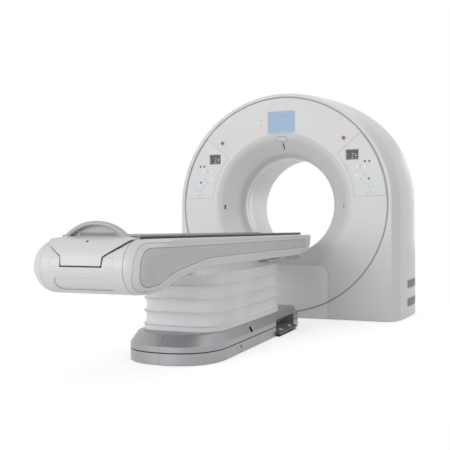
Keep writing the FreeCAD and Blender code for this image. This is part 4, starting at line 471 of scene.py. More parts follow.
def prism(points, low, high, axis="y"):
    """Solid with a flat outline of (u, v) points, between two planes across the axis."""
    n = len(points)
    place = {"x": lambda u, v, w: (w, u, v), "y": lambda u, v, w: (u, w, v),
             "z": lambda u, v, w: (u, v, w)}[axis]
    corners = [place(u, v, w) for w in (low, high) for u, v in points]
    faces = [list(range(n)), list(range(n, 2 * n))]
    return corners, faces + [[i, (i + 1) % n, n + (i + 1) % n, n + i] for i in range(n)]


def plate(name, outline, low, high, axis="y", steps=8):
    """Object with a rounded outline, between two planes."""
    return make(name, prism(rounded(outline, steps), low, high, axis))


def drill(radius, low, high, steps=240, centre=(0.0, ISO)):
    """Cutter: a disc round the bore axis or another centre."""
    return make("drill", turned(box(0.0, radius, low, high), steps, centre), 1e-6)


print("tools: turned pieces and prisms")

# %% [markdown]
# Openings and pairs. Windows, seams and recesses are cut out of the pieces, as a mill does, with
# Boolean modifiers that are applied at once, so that each piece ends as plain geometry. What is
# there twice is made once and mirrored. Mirroring turns a mesh inside out, so its faces are
# flipped back.

# %% Carving, joining, mirroring
def carve(target, *cutters, operation="DIFFERENCE"):
    """Take the cutters out of the target, or with INTERSECT keep what lies in them, for good."""
    for cutter in cutters:
        change = target.modifiers.new("cut", "BOOLEAN")
        change.operation = operation
        change.solver = "EXACT"
        change.object = cutter
    graph = bpy.context.evaluated_depsgraph_get()
    result = bpy.data.meshes.new_from_object(target.evaluated_get(graph))
    target.modifiers.clear()
    target.data = result
    for cutter in cutters:
        bpy.data.objects.remove(cutter)
    return target


def join(name, *things):
    """One object from several."""
    solid = bmesh.new()
    for thing in things:
        solid.from_mesh(thing.data)
        bpy.data.objects.remove(thing)
    mesh = bpy.data.meshes.new(name)
    solid.to_mesh(mesh)
    solid.free()
    return linked(name, mesh)


def to_left(mesh):
    """Reflect a mesh in the centre plane and turn its faces outwards again."""
    mesh.transform(Matrix.Scale(-1, 4, (1, 0, 0)))
    mesh.flip_normals()
    return mesh


def mirrored(thing, name):
    """A copy on the other side of the centre plane."""
    return linked(name, to_left(thing.data.copy()))


def tilted(thing, tilt, place):
    """Turned about the x axis, then moved."""
    thing.data.transform(Matrix.Translation(place) @ Matrix.Rotation(tilt, 4, "X"))
    return thing


print("tools: carving, joining, mirroring")

# %% [markdown]
# Dressing a piece: its finish, smooth shading that stops at sharp edges, and a narrow bevel where
# the real edge catches the light. Subdivision would soften edges too, but swells the flat faces.
# The piece then rides on the body that carries it, and replaces the solid it stands for.


def dress(thing, finish_name, body, *nodes, edge=0.0, crease=32):
    """Material, smooth shading, softened edges, and the body the piece rides on."""
    mesh = thing.data
    mesh.materials.clear()
    mesh.materials.append(MATERIALS[finish_name])
    mesh.polygons.foreach_set("use_smooth", [True] * len(mesh.polygons))
    mesh.polygons.foreach_set("material_index", [0] * len(mesh.polygons))
    mesh.set_sharp_from_angle(angle=math.radians(crease))
    if edge:
        soft = thing.modifiers.new("edge", "BEVEL")
        soft.width = edge
        soft.segments = 2
        soft.limit_method = "ANGLE"
        soft.angle_limit = math.radians(crease)
        soft.use_clamp_overlap = True
        thing.modifiers.new("even", "WEIGHTED_NORMAL").keep_sharp = True
    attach(thing, body)
    if nodes:
        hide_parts(*nodes)
    print(thing.name, len(mesh.polygons), "faces on", body)
    return thing


print("tools: dressing")

# %% [markdown]
# The gantry's cover is what takes most skill on the real machine: big moulded shells whose
# section changes from front to back. It could be sculpted, but then the seams between shells
# would wander. Here every section is an arch, two upright legs and a crown. With $s$ the share of
# the way from the widest depth to a seam, the half width is $w(s) = w_0 - \Delta s^{1.6}$, and
# the crown is $p(t) = ((1-t)^2 p_0 + 2kt(1-t) p_1 + t^2 p_2) / ((1-t)^2 + 2kt(1-t) + t^2)$: an
# ellipse at $k = 0.707$, squarer above that.

# %% Sections of the cover
WALL = 0.006                    # thickness of the covers
LIFT = 0.006                    # covers end this far above the floor
SEAM = 0.0008
SHELL_DEPTH = 0.110             # depth of the front surround
CREST = 0.640                   # depth where the cover is widest
CREST_SIZE = (1.140, 1.084)     # half width and rise there
FRONT_DROP = (0.053, 0.0372)    # how much smaller both are at the front seam
REAR_DROP = (0.023, 0.014)      # and at the rear seam
FLANK_END = 0.868
TOP_SEAM = math.radians(41.3)
ROLL = (0.0, 0.02, 0.10, 0.25)  # share of the wall by which the last rows are drawn in
ROLL_ROWS = np.array([0.0, 0.0004, 0.0012, 0.0027])


def flank(depth):
    """Half width and rise of the cover at the depths of the side covers."""
    depth = np.asarray(depth, float)
    front = depth < CREST
    run = np.where(front, CREST - SHELL_DEPTH, FLANK_END - CREST)
    share = (np.abs(depth - CREST) / run) ** 1.6
    drop = [np.where(front, FRONT_DROP[k], REAR_DROP[k]) for k in (0, 1)]
    return CREST_SIZE[0] - drop[0] * share, CREST_SIZE[1] - drop[1] * share


def crown_weight(depth):
    """k of the crown: an ellipse at the face, squarer from 0.4 m behind it."""
    return 0.707 + 0.1 * np.minimum(1.0, np.asarray(depth, float) / 0.4)


def crown_at(t, half, rise, weight):
    """x and height over the axis of the crown's curve, t from 0 at the hip to 1 at the top."""
    a, b, c = (1 - t) ** 2, 2 * weight * t * (1 - t), t ** 2
    whole = a + b + c
    return half * (a + b) / whole, rise * (b + c) / whole


def seam_at(half, rise, weight, shift):
    """t where the crown meets the top seam's plane, moved up by shift, by halving the interval."""
    low, high = np.zeros_like(half), np.ones_like(half)
    for _ in range(40):
        t = (low + high) / 2
        x, z = crown_at(t, half, rise, weight)
        under = z * math.cos(TOP_SEAM) - x * math.sin(TOP_SEAM) < shift
        low, high = np.where(under, t, low), np.where(under, high, t)
    return (low + high) / 2


print("crown, middle of an ellipse:", crown_at(0.5, 1.0, 1.0, crown_weight(0.0)))

# %% [markdown]
# From sections to shells. A grid of points has a row for each depth: up the leg, then over the
# crown. The inner wall is the same grid of a smaller arch. At the seams the last rows are drawn in
# towards the inner wall, which gives the rolled edge that a moulded cover has. A bevel there would
# need one clean edge loop, and the long thin faces of the crown don't leave it room.

# %% Grids of the cover
def arch_grid(depth, half, rise, t, legs=24):
    """Points from the right foot over the crown: a row for each depth, t the crown's part in it."""
    rows = len(depth)
    half, rise = half[:, None], rise[:, None]
    x, z = crown_at(t, half, rise, crown_weight(depth)[:, None])
    y = np.broadcast_to(deep(depth)[:, None], (rows, t.shape[1] + legs))
    if legs:
        low = np.linspace(LIFT, ISO, legs, endpoint=False)[None, :].repeat(rows, 0)
        x = np.concatenate([np.broadcast_to(half, (rows, legs)), x], axis=1)
        z = np.concatenate([low - ISO, z], axis=1)
    return np.stack([x, y, ISO + z], axis=-1)


def whole_arch(right):
    """A right half from foot to crown, carried on to the left foot."""
    left = right[:, -2::-1] * np.array([-1.0, 1.0, 1.0])
    return np.concatenate([right, left], axis=1)


def rolled(count):
    """How far each row is drawn in as a share of the wall, with a rolled edge at both ends."""
    share = np.zeros(count)
    share[:4] = ROLL[::-1]
    share[-4:] = np.maximum(share[-4:], ROLL)
    return share


def eased(low, high, count):
    """Values from low to high, with three close to each end for the rolled edges."""
    middle = np.linspace(low, high, count + 2)[1:-1]
    return np.concatenate([low + ROLL_ROWS, middle, high - ROLL_ROWS[::-1]])


def walls(name, outer, inner, share):
    """Shell between two grids, the outer one drawn in by a share of the wall."""
    return make(name, shell(outer + (inner - outer) * share[..., None], inner))


print("half width at the crest and at the rear seam:", flank(np.array([CREST, FLANK_END]))[0])

# %% [markdown]
# The front surround is the band round the face, with a small rolled edge, and the flat plate in
# which the dark ring lies. Band and plate are one part on the machine. A band is a shell and a
# plate is a prism, so each is made its own way and the two are joined.

# %% Front surround
RING = 1.0
RING_WIDTH = 0.011
DISC = RING - RING_WIDTH - SEAM
SURROUND_DEPTHS = np.array([0, 0.0004, 0.0012, 0.003, 0.006, 0.010, 0.110])
SURROUND_HALF = np.array([1.026, 1.0277, 1.0290, 1.0305, 1.0331, 1.0355, 1.087])
SURROUND_RISE = np.array([1.0235, 1.0243, 1.0249, 1.0255, 1.0271, 1.0285, 1.0468])


def service_outline(margin, bottom=LIFT):
    """Outline of the service panel low in the face."""
    half, top = 0.449 + margin, 0.490 + margin
    return [(-half, bottom, 0), (half, bottom, 0), (half, top, 0.075), (-half, top, 0.075)]


def crown_steps(rows):
    """Parts of the crown's curve in even steps, the same in every row."""
    return np.linspace(0, 1, 90)[None, :].repeat(rows, 0)


def arch_plate(name, half, rise, depth, low, high):
    """Flat plate with the outline of the arch at one depth."""
    rim = whole_arch(arch_grid(np.array([depth]), half, rise, crown_steps(1), legs=2))[0]
    return make(name, prism(rim[:, ::2].tolist(), low, high))


def surround_at(depth):
    """Half width and rise of the surround."""
    return [np.interp(depth, SURROUND_DEPTHS, size) for size in (SURROUND_HALF, SURROUND_RISE)]


def front_surround():
    """Rolled band round the face, and the plate with its openings for the disc and the panel."""
    depth = np.concatenate([[0.0], SURROUND_DEPTHS[:-1], [0.018, 0.03, 0.045, 0.06, 0.075, 0.09, 0.1],
                            SHELL_DEPTH - ROLL_ROWS[::-1]])
    half, rise = surround_at(depth)
    half[0] -= 0.004
    rise[0] -= 0.004
    t = crown_steps(len(depth))
    back = np.maximum(depth, WALL)
    inner_half, inner_rise = (np.minimum(*pair) - WALL for pair in zip((half, rise), surround_at(back)))
    outer = whole_arch(arch_grid(depth, half, rise, t))
    inner = whole_arch(arch_grid(back, inner_half, inner_rise, t))
    share = np.zeros((len(depth), 1))
    share[-4:, 0] = ROLL
    band = walls("surround_band", outer, inner, share)
    flat = arch_plate("surround_plate", np.array([1.022]), np.array([1.0195]), 0.0, FACE, FACE + WALL)
    carve(flat, drill(RING + SEAM, FACE - 0.01, FACE + 0.003), drill(DISC + FIT, FACE - 0.01, FACE + 0.02),
          plate("service", service_outline(0.002, -0.05), FACE - 0.02, FACE + 0.02))
    return join("front_surround_skin", band, flat)


dress(front_surround(), "gantry_white", "gantry", "front_surround", crease=40)

# %% [markdown]
# The side covers run from the floor to the top seam, behind the surround. Their vents are cut
# through, and each vent gets a grille of slats that follow the flank's curve, with a few stays
# behind. A striped texture would look the same from afar, but has no depth close up.

# %% Side covers and vents
VENTS = ((0.096, 0.180), (0.268, 0.350))    # heights of the two grilles
VENT_DEPTHS = (0.330, 0.750)
VENT_FRAME = 0.005
SLATS = 13


def side_cover():
    """Right flank from the floor to the top seam, its edges rolled, opened for the vents."""
    depth = eased(SHELL_DEPTH + SEAM, FLANK_END, 44)
    half, rise = flank(depth)
    end = seam_at(half, rise, crown_weight(depth), -SEAM / 2)
    steps = np.concatenate([np.linspace(0, 1, 46)[:-1] * 0.992, [0.9945, 0.9975, 0.9992, 1.0]])
    t = end[:, None] * steps[None, :]
    outer = arch_grid(depth, half, rise, t, legs=40)
    inner = arch_grid(depth, half - WALL, rise - WALL, t, legs=40)
    share = rolled(len(depth))[:, None].repeat(outer.shape[1], 1)
    share[:, -3:] = np.maximum(share[:, -3:], ROLL[1:])
    y0, y1 = deep(VENT_DEPTHS[0]) - FIT, deep(VENT_DEPTHS[1]) + FIT
    vents = [plate("vent", box(y0, y1, z0 - FIT, z1 + FIT, 0.006), 1.0, 1.25, "x") for z0, z1 in VENTS]
    return carve(walls("side_cover_right_skin", outer, inner, share), *vents)


def vent_bar(depths, low, high, front, back):
    """Bar between two heights, its front and back at two distances under the flank's surface."""
    half = flank(depths)[0]
    layers = [np.stack([np.column_stack([half - under, deep(depths), np.full_like(depths, z)])
                        for z in (low, high)]) for under in (front, back)]
    return make("bar", shell(*layers))


def vent_grille(z0, z1):
    """Frame, slats and stays of one grille."""
    first, last = VENT_DEPTHS
    along = np.linspace(first, last, 25)
    low, high = z0 + VENT_FRAME, z1 - VENT_FRAME
    bars = [vent_bar(along, z0, low, 0.0, 0.006), vent_bar(along, high, z1, 0.0, 0.006)]
    for ends in ((first, first + VENT_FRAME), (last - VENT_FRAME, last)):
        bars.append(vent_bar(np.array(ends), low, high, 0.0, 0.006))
    pitch = (z1 - z0 - 2 * VENT_FRAME) / SLATS
    for i in range(SLATS):
        foot = low + pitch * (i + 0.28)
        bars.append(vent_bar(along, foot, foot + pitch * 0.45, 0.001, 0.005))
    for stay in np.linspace(first, last, 6)[1:-1]:
        bars.append(vent_bar(stay + np.array([-0.0015, 0.0015]), low - 0.001, high + 0.001, 0.0015, 0.0058))
    return bars


flank_right = side_cover()
grille_right = join("vent_grille_right", *[bar for span in VENTS for bar in vent_grille(*span)])
flank_left = mirrored(flank_right, "side_cover_left_skin")
grille_left = mirrored(grille_right, "vent_grille_left")
dress(flank_right, "gantry_white", "gantry", "side_cover_right", crease=40)
dress(flank_left, "gantry_white", "gantry", "side_cover_left", crease=40)
dress(grille_right, "vent_grey", "gantry", "vent_grilles")
dress(grille_left, "vent_grey", "gantry", "vent_grilles")

# %% [markdown]
# The top cover lies on the crown between the two top seams, and the rear cover closes the back
# with a rounded shoulder and a flat wall. Both use the same sections as the side covers, so that
# the shells meet along their seams without a step, which separate models would hardly do.

# %% Top and rear covers
DEPTH = 0.950
BACK_DROP = 0.049


def top_cover():
    """Crown between the two top seams."""
    depth = eased(SHELL_DEPTH + SEAM, FLANK_END, 44)
    half, rise = flank(depth)
    start = seam_at(half, rise, crown_weight(depth), SEAM / 2)[:, None]
    steps = np.concatenate([[0.0, 0.0008, 0.0025, 0.0055], np.linspace(0.012, 1, 60)])
    t = start + (1 - start) * steps[None, :]
    outer = whole_arch(arch_grid(depth, half, rise, t, legs=0))
    inner = whole_arch(arch_grid(depth, half - WALL, rise - WALL, t, legs=0))
    share = np.maximum(rolled(len(depth))[:, None], rolled(outer.shape[1])[None, :])
    return walls("top_cover_skin", outer, inner, share)


def rear_cover():
    """Rounded shoulder and flat rear wall with the hole of the rear funnel."""
    along = np.concatenate([[0, 0.005, 0.015, 0.033], np.linspace(0.07, 0.9, 12), [0.94, 0.97, 0.99, 1.0]])
    drop = (0.35 * along + 0.65 * along ** 2.8) * BACK_DROP
    drop[-3:] += (0.001, 0.0035, 0.008)
    depth = FLANK_END + SEAM + along * (DEPTH - FLANK_END - SEAM)
    wide, high = (size[0] for size in flank(depth[:1]))
    half, rise = wide - drop, high - drop
    t = crown_steps(len(depth))
    outer = whole_arch(arch_grid(depth, half, rise, t))
    inner = whole_arch(arch_grid(np.minimum(depth, DEPTH - WALL), half - WALL, rise - WALL, t))
    share = np.zeros((len(depth), 1))
    share[:4, 0] = ROLL[::-1]
    band = walls("rear_band", outer, inner, share)
    wall = arch_plate("rear_plate", half[-1:], rise[-1:], DEPTH, deep(DEPTH - WALL), deep(DEPTH))
    carve(wall, drill(0.530 + SEAM, deep(0.9), deep(1.0), 200))
    return join("rear_cover_skin", band, wall)


dress(top_cover(), "gantry_white", "gantry", "top_cover", crease=40)
dress(rear_cover(), "gantry_white", "gantry", "rear_cover", crease=40)

# %% [markdown]
# The face disc and the funnel are one moulding on the machine, so here they are one turned
# profile: flat face, crisp edge, broad shoulder, cone and narrow throat. Each layer of it is the
# same line moved in by an offset, with its bends made tighter, which keeps the wall even. A cone
# joined to a disc would show a seam where the real one has none.

# %% Profile of the mouth
STEPS_AROUND = 288
PANEL_INNER = 0.700             # radius where the control panels end
MOUTH = (                       # radius, depth and bend of a corner, and its move for each metre of offset
    (DISC, 0.0, 0.0, (0.0, 1.0)),
    (PANEL_INNER, 0.0, 0.0, (0.0, 1.0)),
    (0.6647, 0.0, 0.006, (0.1272, 1.0)),
    (0.6215, 0.01116, 0.120, (0.4861, 0.9072)),
    (0.4615, 0.1546, 0.150, (0.9392, 0.5012)),
    (0.450, 0.236, 0.0, (0.9902, 0.1399)),
)


def layer(offset):
    """(radius, y) points of the surface that lies an offset under the face and the funnel."""
    line = [(radius + out * offset, depth + down * offset, max(0.0, turn - offset) if turn else 0)
            for radius, depth, turn, (out, down) in MOUTH]
    points = rounded(line + [(2.0, 1.0, 0), (2.0, offset, 0)], steps=11)[:-2]
    return [(radius, deep(depth)) for radius, depth in points]


def mouth(front, back, rim=0.0012):
    """Closed profile between two layers; where it is thick, its outer rim is bevelled."""
    outer, inner = layer(front), layer(back)
    if back - front > 0.004:
        radius, y = outer[0]
        outer = [(radius, y + rim), (radius - rim, y)] + outer[1:]
    return outer + inner[::-1]


def mouth_piece(outline, front, back, name):
    """Part of a layer of the mouth inside an outline."""
    piece = make(name, turned(mouth(front, back), STEPS_AROUND))
    return carve(piece, plate("outline", outline, deep(-0.005), deep(0.2)), operation="INTERSECT")


def wedge(margin):
    """Outline of the right control panel: two arcs between a level line and a slanted one."""
    points = []
    for radius, way in ((DISC - 0.004 + margin, 1), (PANEL_INNER - margin, -1)):
        low = math.asin((0.067 - margin) / radius)
        high = math.radians(40.3) + math.asin(margin / radius)
        angles = np.linspace(low, high, 40)[::way]
        points += [(radius * math.cos(a), ISO + radius * math.sin(a)) for a in angles]
    return points


print("points in the mouth's profile:", len(mouth(0.0, WALL)))

# %% [markdown]
# Everything mounted in the face gets its opening with a little play round it: the service panel,
# the control panels, the screen, the breathing lamp, the positioning lights and the stop buttons.
# Drawing them on the surface would be simpler, but the thin shadow in each gap is what makes them
# look built in. The lamp sits on the shoulder, so its opening is tilted to lie square to it.

# %% Face and funnel
SCREEN = (0.255, 0.191)
SCREEN_Z = ISO + 0.7655
PANEL_DISPLAY = (0.674, ISO + 0.441, 0.121, 0.097)
STOP = (0.595, ISO + 0.593)
TOP_LASER = [(-0.008, ISO + 0.524, 0.004), (0.004, ISO + 0.524, 0.004),
             (0.008, ISO + 0.576, 0.004), (-0.004, ISO + 0.576, 0.004)]
SIDE_LASER = slab(0.575, ISO - 0.014, 0.040, 0.052, 0.004)
PILL = (0.114, 0.050)
PILL_HEIGHT = 0.612             # of the breathing lamp over the axis
SHOULDER_EDGE = 0.634           # radius where the shoulder's tangents meet
SHOULDER_BEND = 0.120
SHOULDER_TURN = math.radians(41.87)
SHOULDER_TILT = math.asin((SHOULDER_EDGE + SHOULDER_BEND * math.tan(SHOULDER_TURN / 2) - PILL_HEIGHT)
                          / SHOULDER_BEND)
PILL_PLACE = (0.0, deep(SHOULDER_BEND * (1 - math.cos(SHOULDER_TILT))), ISO + PILL_HEIGHT)


def widened(outline, margin):
    """A four-cornered outline made larger on all sides."""
    (x0, z0, r), (x1, _, _), (x2, z2, _), (x3, _, _) = outline
    return [(x0 - margin, z0 - margin, r), (x1 + margin, z0 - margin, r),
            (x2 + margin, z2 + margin, r), (x3 - margin, z2 + margin, r)]


def front_cover():
    """The whole moulding with all its openings."""
    side_window = rounded(widened(SIDE_LASER, FIT))
    cuts = [(rounded(widened(TOP_LASER, FIT)), 0.24), (side_window, 0.24), (flip(side_window), 0.24),
            (rounded(service_outline(0.002, -0.1)), 0.02),
            (rounded(slab(0, SCREEN_Z, 0.2756, 0.2116, 0.0153)), 0.02),
            (wedge(SEAM), 0.003), (flip(wedge(SEAM)), 0.003)]
    cutters = [make("cut", prism(outline, deep(-0.01), deep(depth))) for outline, depth in cuts]
    pill = plate("cut", slab(0, 0, PILL[0] + 2 * FIT, PILL[1] + 2 * FIT, 0.0253), -0.03, 0.03)
    cutters.append(tilted(pill, SHOULDER_TILT, PILL_PLACE))
    cutters += [drill(0.019, deep(-0.01), deep(0.02), 40, (side * STOP[0], STOP[1])) for side in (-1, 1)]
    return carve(make("front_cover_skin", turned(mouth(0.0, WALL), STEPS_AROUND)), *cutters)


dress(front_cover(), "gantry_white", "gantry", "front_cover", crease=38)

# %% [markdown]
# Round the disc runs a thin dark ring of rubber, which stands 3 mm proud with slanted sides, and
# low in the face lies the service panel, with the ring's groove running through it. The ring is
# one more turned profile, and the groove is the same turn used as a cutter.

# %% Trim ring and service panel
ring = [(RING - RING_WIDTH + 0.0025, deep(-0.003), 0.0008), (RING - 0.0025, deep(-0.003), 0.0008),
        (RING, deep(0.003), 0), (RING - RING_WIDTH, deep(0.003), 0)]
dress(make("trim_ring_band", turned(rounded(ring, 3), 360)), "ring_grey", "gantry", "trim_ring")
service = plate("service_panel_skin", service_outline(0.0), deep(0), deep(WALL), steps=12)
carve(service, make("groove", turned(box(DISC, RING + SEAM, deep(-0.01), deep(0.003)), 240)))
dress(service, "warm_grey", "gantry", "service_panel", edge=0.0012)

# %% [markdown]
# Inside the bore, the X-rays pass through a translucent film between a white rim with a groove
# and a narrow lip. Each is a band of its own, because each has its own finish and the steps
# between them are real. Two pins hold the rim. Behind the film the rear funnel opens outwards.

# %% Scan window and rear funnel
WINDOW_BANDS = (                # name, from and to depth, how far it lies back, finish
    ("window_rim", 0.2369, 0.296, 0.0, "liner_white"),
    ("window_groove", 0.296, 0.304, 0.0020, "slot_grey"),
    ("scan_window_film", 0.304, 0.450, 0.0, "window_film"),
    ("window_lip", 0.4504, 0.460, -0.0012, "liner_white"),
)
WINDOW_WALL = 0.003


def window_radius(depth):
    """Radius of the bore's wall, which widens a little towards the back."""
    return 0.4504 + (depth - 0.2369) * 0.0475


def liner_pin(angle, depth, radius=0.0035):
    """Round pin square to the bore's wall: the circle $r(\\cos a, \\sin a)$ at two reaches."""
    a = np.arange(16) * 2 * np.pi / 16
    radial = np.array([math.cos(angle), 0.0, math.sin(angle)])
    around = np.array([-math.sin(angle), 0.0, math.cos(angle)])
    circle = radius * (np.cos(a)[:, None] * around + np.sin(a)[:, None] * np.array([0.0, 1.0, 0.0]))
    wall = np.array([0.0, deep(depth), ISO]) + radial * window_radius(depth)
    return make("pin", capped([wall + radial * reach + circle for reach in (-0.0006, WINDOW_WALL)]))


for name, low, high, sunk, tone in WINDOW_BANDS:
    near, far = window_radius(low), window_radius(high)
    band = [(near + sunk, deep(low)), (far + sunk, deep(high)),
            (far + WINDOW_WALL, deep(high)), (near + WINDOW_WALL, deep(low))]
    dress(make(name, turned(band, 240)), tone, "gantry", "scan_window")
pins = [liner_pin(math.radians(a), 0.272) for a in (137, 43)]
dress(join("window_pins", *pins), "slot_grey", "gantry")

liner = [(0.461, 0.460, 0), (0.490, 0.731, 0.02), (0.502, 0.940, 0.010), (0.510, 0.950, 0.008),
         (0.530, 0.950, 0.002), (0.530, 0.944, 0.0), (0.508, 0.938, 0.0), (0.496, 0.731, 0.0),
         (0.467, 0.460, 0)]
dress(make("rear_funnel_skin", turned([(r, deep(d)) for r, d in rounded(liner, 6)], 240)),
      "funnel_grey", "gantry", "rear_funnel")

# %% [markdown]
# The screen over the mouth is a pane let into a frame, with one lamp right of it and two left of
# it. What it shows is kept plain, two pale bars. They are thin blocks, not an image on the pane,
# because nothing in this scene is looked up in a picture. The lamps are turned caps, dished a
# little, so that each has a highlight of its own.

# %% Screen and lamps
PRINT = 0.0002                  # half thickness of a printed block


def mark(x, z, width, height, depth, corner=0):
    """Thin printed block."""
    return plate("mark", slab(x, z, width, height, corner), deep(depth - PRINT), deep(depth + PRINT), steps=4)


def button(x, z, radius, front, name, edge, dish):
    """Round cap on the face: a slight dish or dome, and a rim that is a quarter circle."""
    profile = [(0.0, front + dish), (radius * 0.45, front + dish * 0.7), (radius * 0.8, front + dish * 0.1)]
    profile += [(radius - edge + edge * math.sin(a), front + edge * (1 - math.cos(a)))
                for a in np.linspace(0, math.pi / 2, 5)]
    profile += [(radius, 0.0), (0.0, 0.0)]
    return make(name, turned([(r, deep(d)) for r, d in profile], 32, (x, z)), 1e-6)


bezel = plate("display_frame", slab(0, SCREEN_Z, 0.275, 0.211, 0.015), deep(-0.002), deep(WALL))
carve(bezel, plate("cut", slab(0, SCREEN_Z, 0.256, 0.192, 0.0055), deep(-0.01), deep(0.003)))
dress(bezel, "bezel_grey", "gantry", "display_bezel", edge=0.0009)
screen = plate("display_glass", slab(0, SCREEN_Z, *SCREEN, 0.005), deep(-0.0012), deep(0.003))
dress(screen, "screen_glass", "gantry", "display_screen", edge=0.0004)
bars = [mark(0, SCREEN_Z + z, 0.250, height, -0.0012, 0.001)
        for z, height in ((0.090, 0.005), (-0.091, 0.003))]
dress(join("screen_bars", *bars), "mark_sky", "gantry")
dress(button(0.202, ISO + 0.767, 0.008, -0.0015, "ready_lamp", 0.0010, -0.0006), "lamp_lens", "gantry",
      "status_lights", crease=60)
small_lamps = [button(-0.200, ISO + z, 0.006, -0.0015, "lamp", 0.0008, -0.0004) for z in (0.788, 0.739)]
dress(join("indicator_lamps", *small_lamps), "lamp_grey", "gantry", "status_lights", crease=60)

# %% [markdown]
# On either side of the mouth lies a wedge of keys. The keys are dished caps, slightly proud, and
# the same list of places serves both wedges. Each wedge is a thin panel on a dark gasket, with a
# small display whose light blocks are plain.

# %% Keys and control panels
SIDES = ((1, "right"), (-1, "left"))
KEYS = (
    ("keys_blue", "key_blue", "blue_keys",
     [(0.7525, 0.336), (0.789, 0.257), (0.753, 0.221), (0.789, 0.185),
      (0.866, 0.148), (0.828, 0.147), (0.845, 0.101), (0.808, 0.101)]),
    ("keys_pale", "key_pale", "pale_keys", [(0.789, 0.332), (0.716, 0.332), (0.716, 0.256)]),
    ("keys_grey", "key_grey", "pale_keys", [(0.829, 0.376), (0.789, 0.376), (0.825, 0.222)]),
)
DISPLAY_BLOCKS = (              # place from the middle, width and height
    (-0.049, 0.008, 0.009, 0.004), (-0.049, -0.008, 0.009, 0.004), (-0.048, -0.024, 0.011, 0.004),
    (0.008, 0.008, 0.016, 0.008), (0.004, -0.012, 0.012, 0.006), (0.002, -0.031, 0.020, 0.007),
    (0.034, -0.006, 0.010, 0.020), (0.032, -0.033, 0.014, 0.004),
)


def display_plate(name, side, spare, corner, low, high):
    """Plate round the middle of a small display, larger than it by spare."""
    x, z, width, height = PANEL_DISPLAY
    return plate(name, slab(side * x, z, width + spare, height + spare, corner), deep(low), deep(high))


for name, tone, solid, centres in KEYS:
    keys = [button(side * x, ISO + z, 0.011, -0.0012, "key", 0.0008, 0.0003)
            for x, z in centres for side in (-1, 1)]
    dress(join(name, *keys), tone, "gantry", solid, crease=60)
for side, word in SIDES:
    bed, top = (o if side > 0 else flip(o) for o in (wedge(0.0004), wedge(-0.0016)))
    dress(make("control_gasket_" + word, prism(bed, deep(0.0006), deep(0.0028))), "gasket_grey", "gantry",
          "control_panels")
    panel = make("control_panel_" + word, prism(top, deep(0), deep(0.0029)))
    carve(panel, display_plate("cut", side, 0.001, 0.0035, -0.01, 0.002))
    dress(panel, "panel_white", "gantry", "control_panels", edge=0.0008)
    rim = display_plate("panel_display_rim_" + word, side, 0.0, 0.003, -0.0004, 0.002)
    carve(rim, display_plate("cut", side, -0.009, 0.002, -0.01, 0.01))
    dress(rim, "bezel_grey", "gantry", "panel_displays", edge=0.0004)
    pane = display_plate("panel_display_glass_" + word, side, -0.0088, 0.002, 0.0002, 0.002)
    dress(pane, "panel_glass", "gantry", "panel_displays")
    x, z = side * PANEL_DISPLAY[0], PANEL_DISPLAY[1]
    blocks = [mark(x + u, z + v, width, height, 0.0002) for u, v, width, height in DISPLAY_BLOCKS]
    dress(join("panel_display_blocks_" + word, *blocks), "mark_cream", "gantry")

# %% [markdown]
# The breathing lamp tells the patient when to hold still: a domed pill in a gasket, square to the
# shoulder. The dome is a stack of pill outlines, each smaller and further out; inflating a flat
# mesh would lose the even rim. The positioning lights are windows let into the funnel. They are
# cut from a layer of the funnel itself, so that they follow its curve.

# %% Breathing lamp and positioning lights
gasket = plate("breathing_gasket", slab(0, 0, *PILL, 0.0249), -0.0006, 0.004, steps=12)
carve(gasket, plate("cut", slab(0, 0, PILL[0] - 0.004, PILL[1] - 0.004, 0.0229), -0.01, 0.01, steps=12))
dress(tilted(gasket, SHOULDER_TILT, PILL_PLACE), "gasket_grey", "gantry", "breathing_guide")


def pill_lens():
    """Domed pill: its outline shrinks by $1-\\cos$ and rises by $\\sin$ of the same angle."""
    rings = []
    for part in np.linspace(0, 1, 9):
        shrink = 0.0045 * (1 - math.cos(part * math.pi / 2)) + 0.016 * max(0, part - 0.5) * 2
        rise = 0.0022 * math.sin(min(1.0, part * 1.6) * math.pi / 2)
        wide, high = (size - 0.0044 - 2 * shrink for size in PILL)
        rings.append([(u, -rise, v) for u, v in rounded(slab(0, 0, wide, high, high / 2 - 0.0001), 12)])
    rings.insert(0, [(u, 0.004, v) for u, _, v in rings[0]])
    return make("breathing_lens", capped(rings))


dress(tilted(pill_lens(), SHOULDER_TILT, PILL_PLACE), "pill_white", "gantry", "breathing_guide", crease=50)
dress(mouth_piece(TOP_LASER, -0.0002, WALL, "laser_top"), "laser_lens", "gantry", "laser_windows")
# The microphone hole is a thin dark disc let into the funnel's surface: painted shade for the hole.
dress(mouth_piece(slab(0.0, ISO + 0.487, 0.006, 0.006, 0.0028), -0.0003, 0.001, "microphone_hole_painted_shade"),
      "slot_grey", "gantry")
for (side, word), tone in zip(SIDES, ("laser_pale", "laser_amber")):
    window = SIDE_LASER if side > 0 else flip(SIDE_LASER)
    dress(mouth_piece(window, 0.0, WALL, "laser_" + word), "panel_white", "gantry", "laser_windows")
    slit = slab(side * 0.587, ISO - 0.014, 0.013, 0.044, 0.003)
    dress(mouth_piece(slit, -0.0006, 0.001, "laser_slit_" + word), tone, "gantry")

# %% [markdown]
# The two emergency stop buttons: a pale collar screwed into the face and a red mushroom head that
# slides in it. Both are turned, from profiles with small roundings, because the highlight on the
# rim is all that shows from afar. The head rides on its own body, so that it can be pressed.

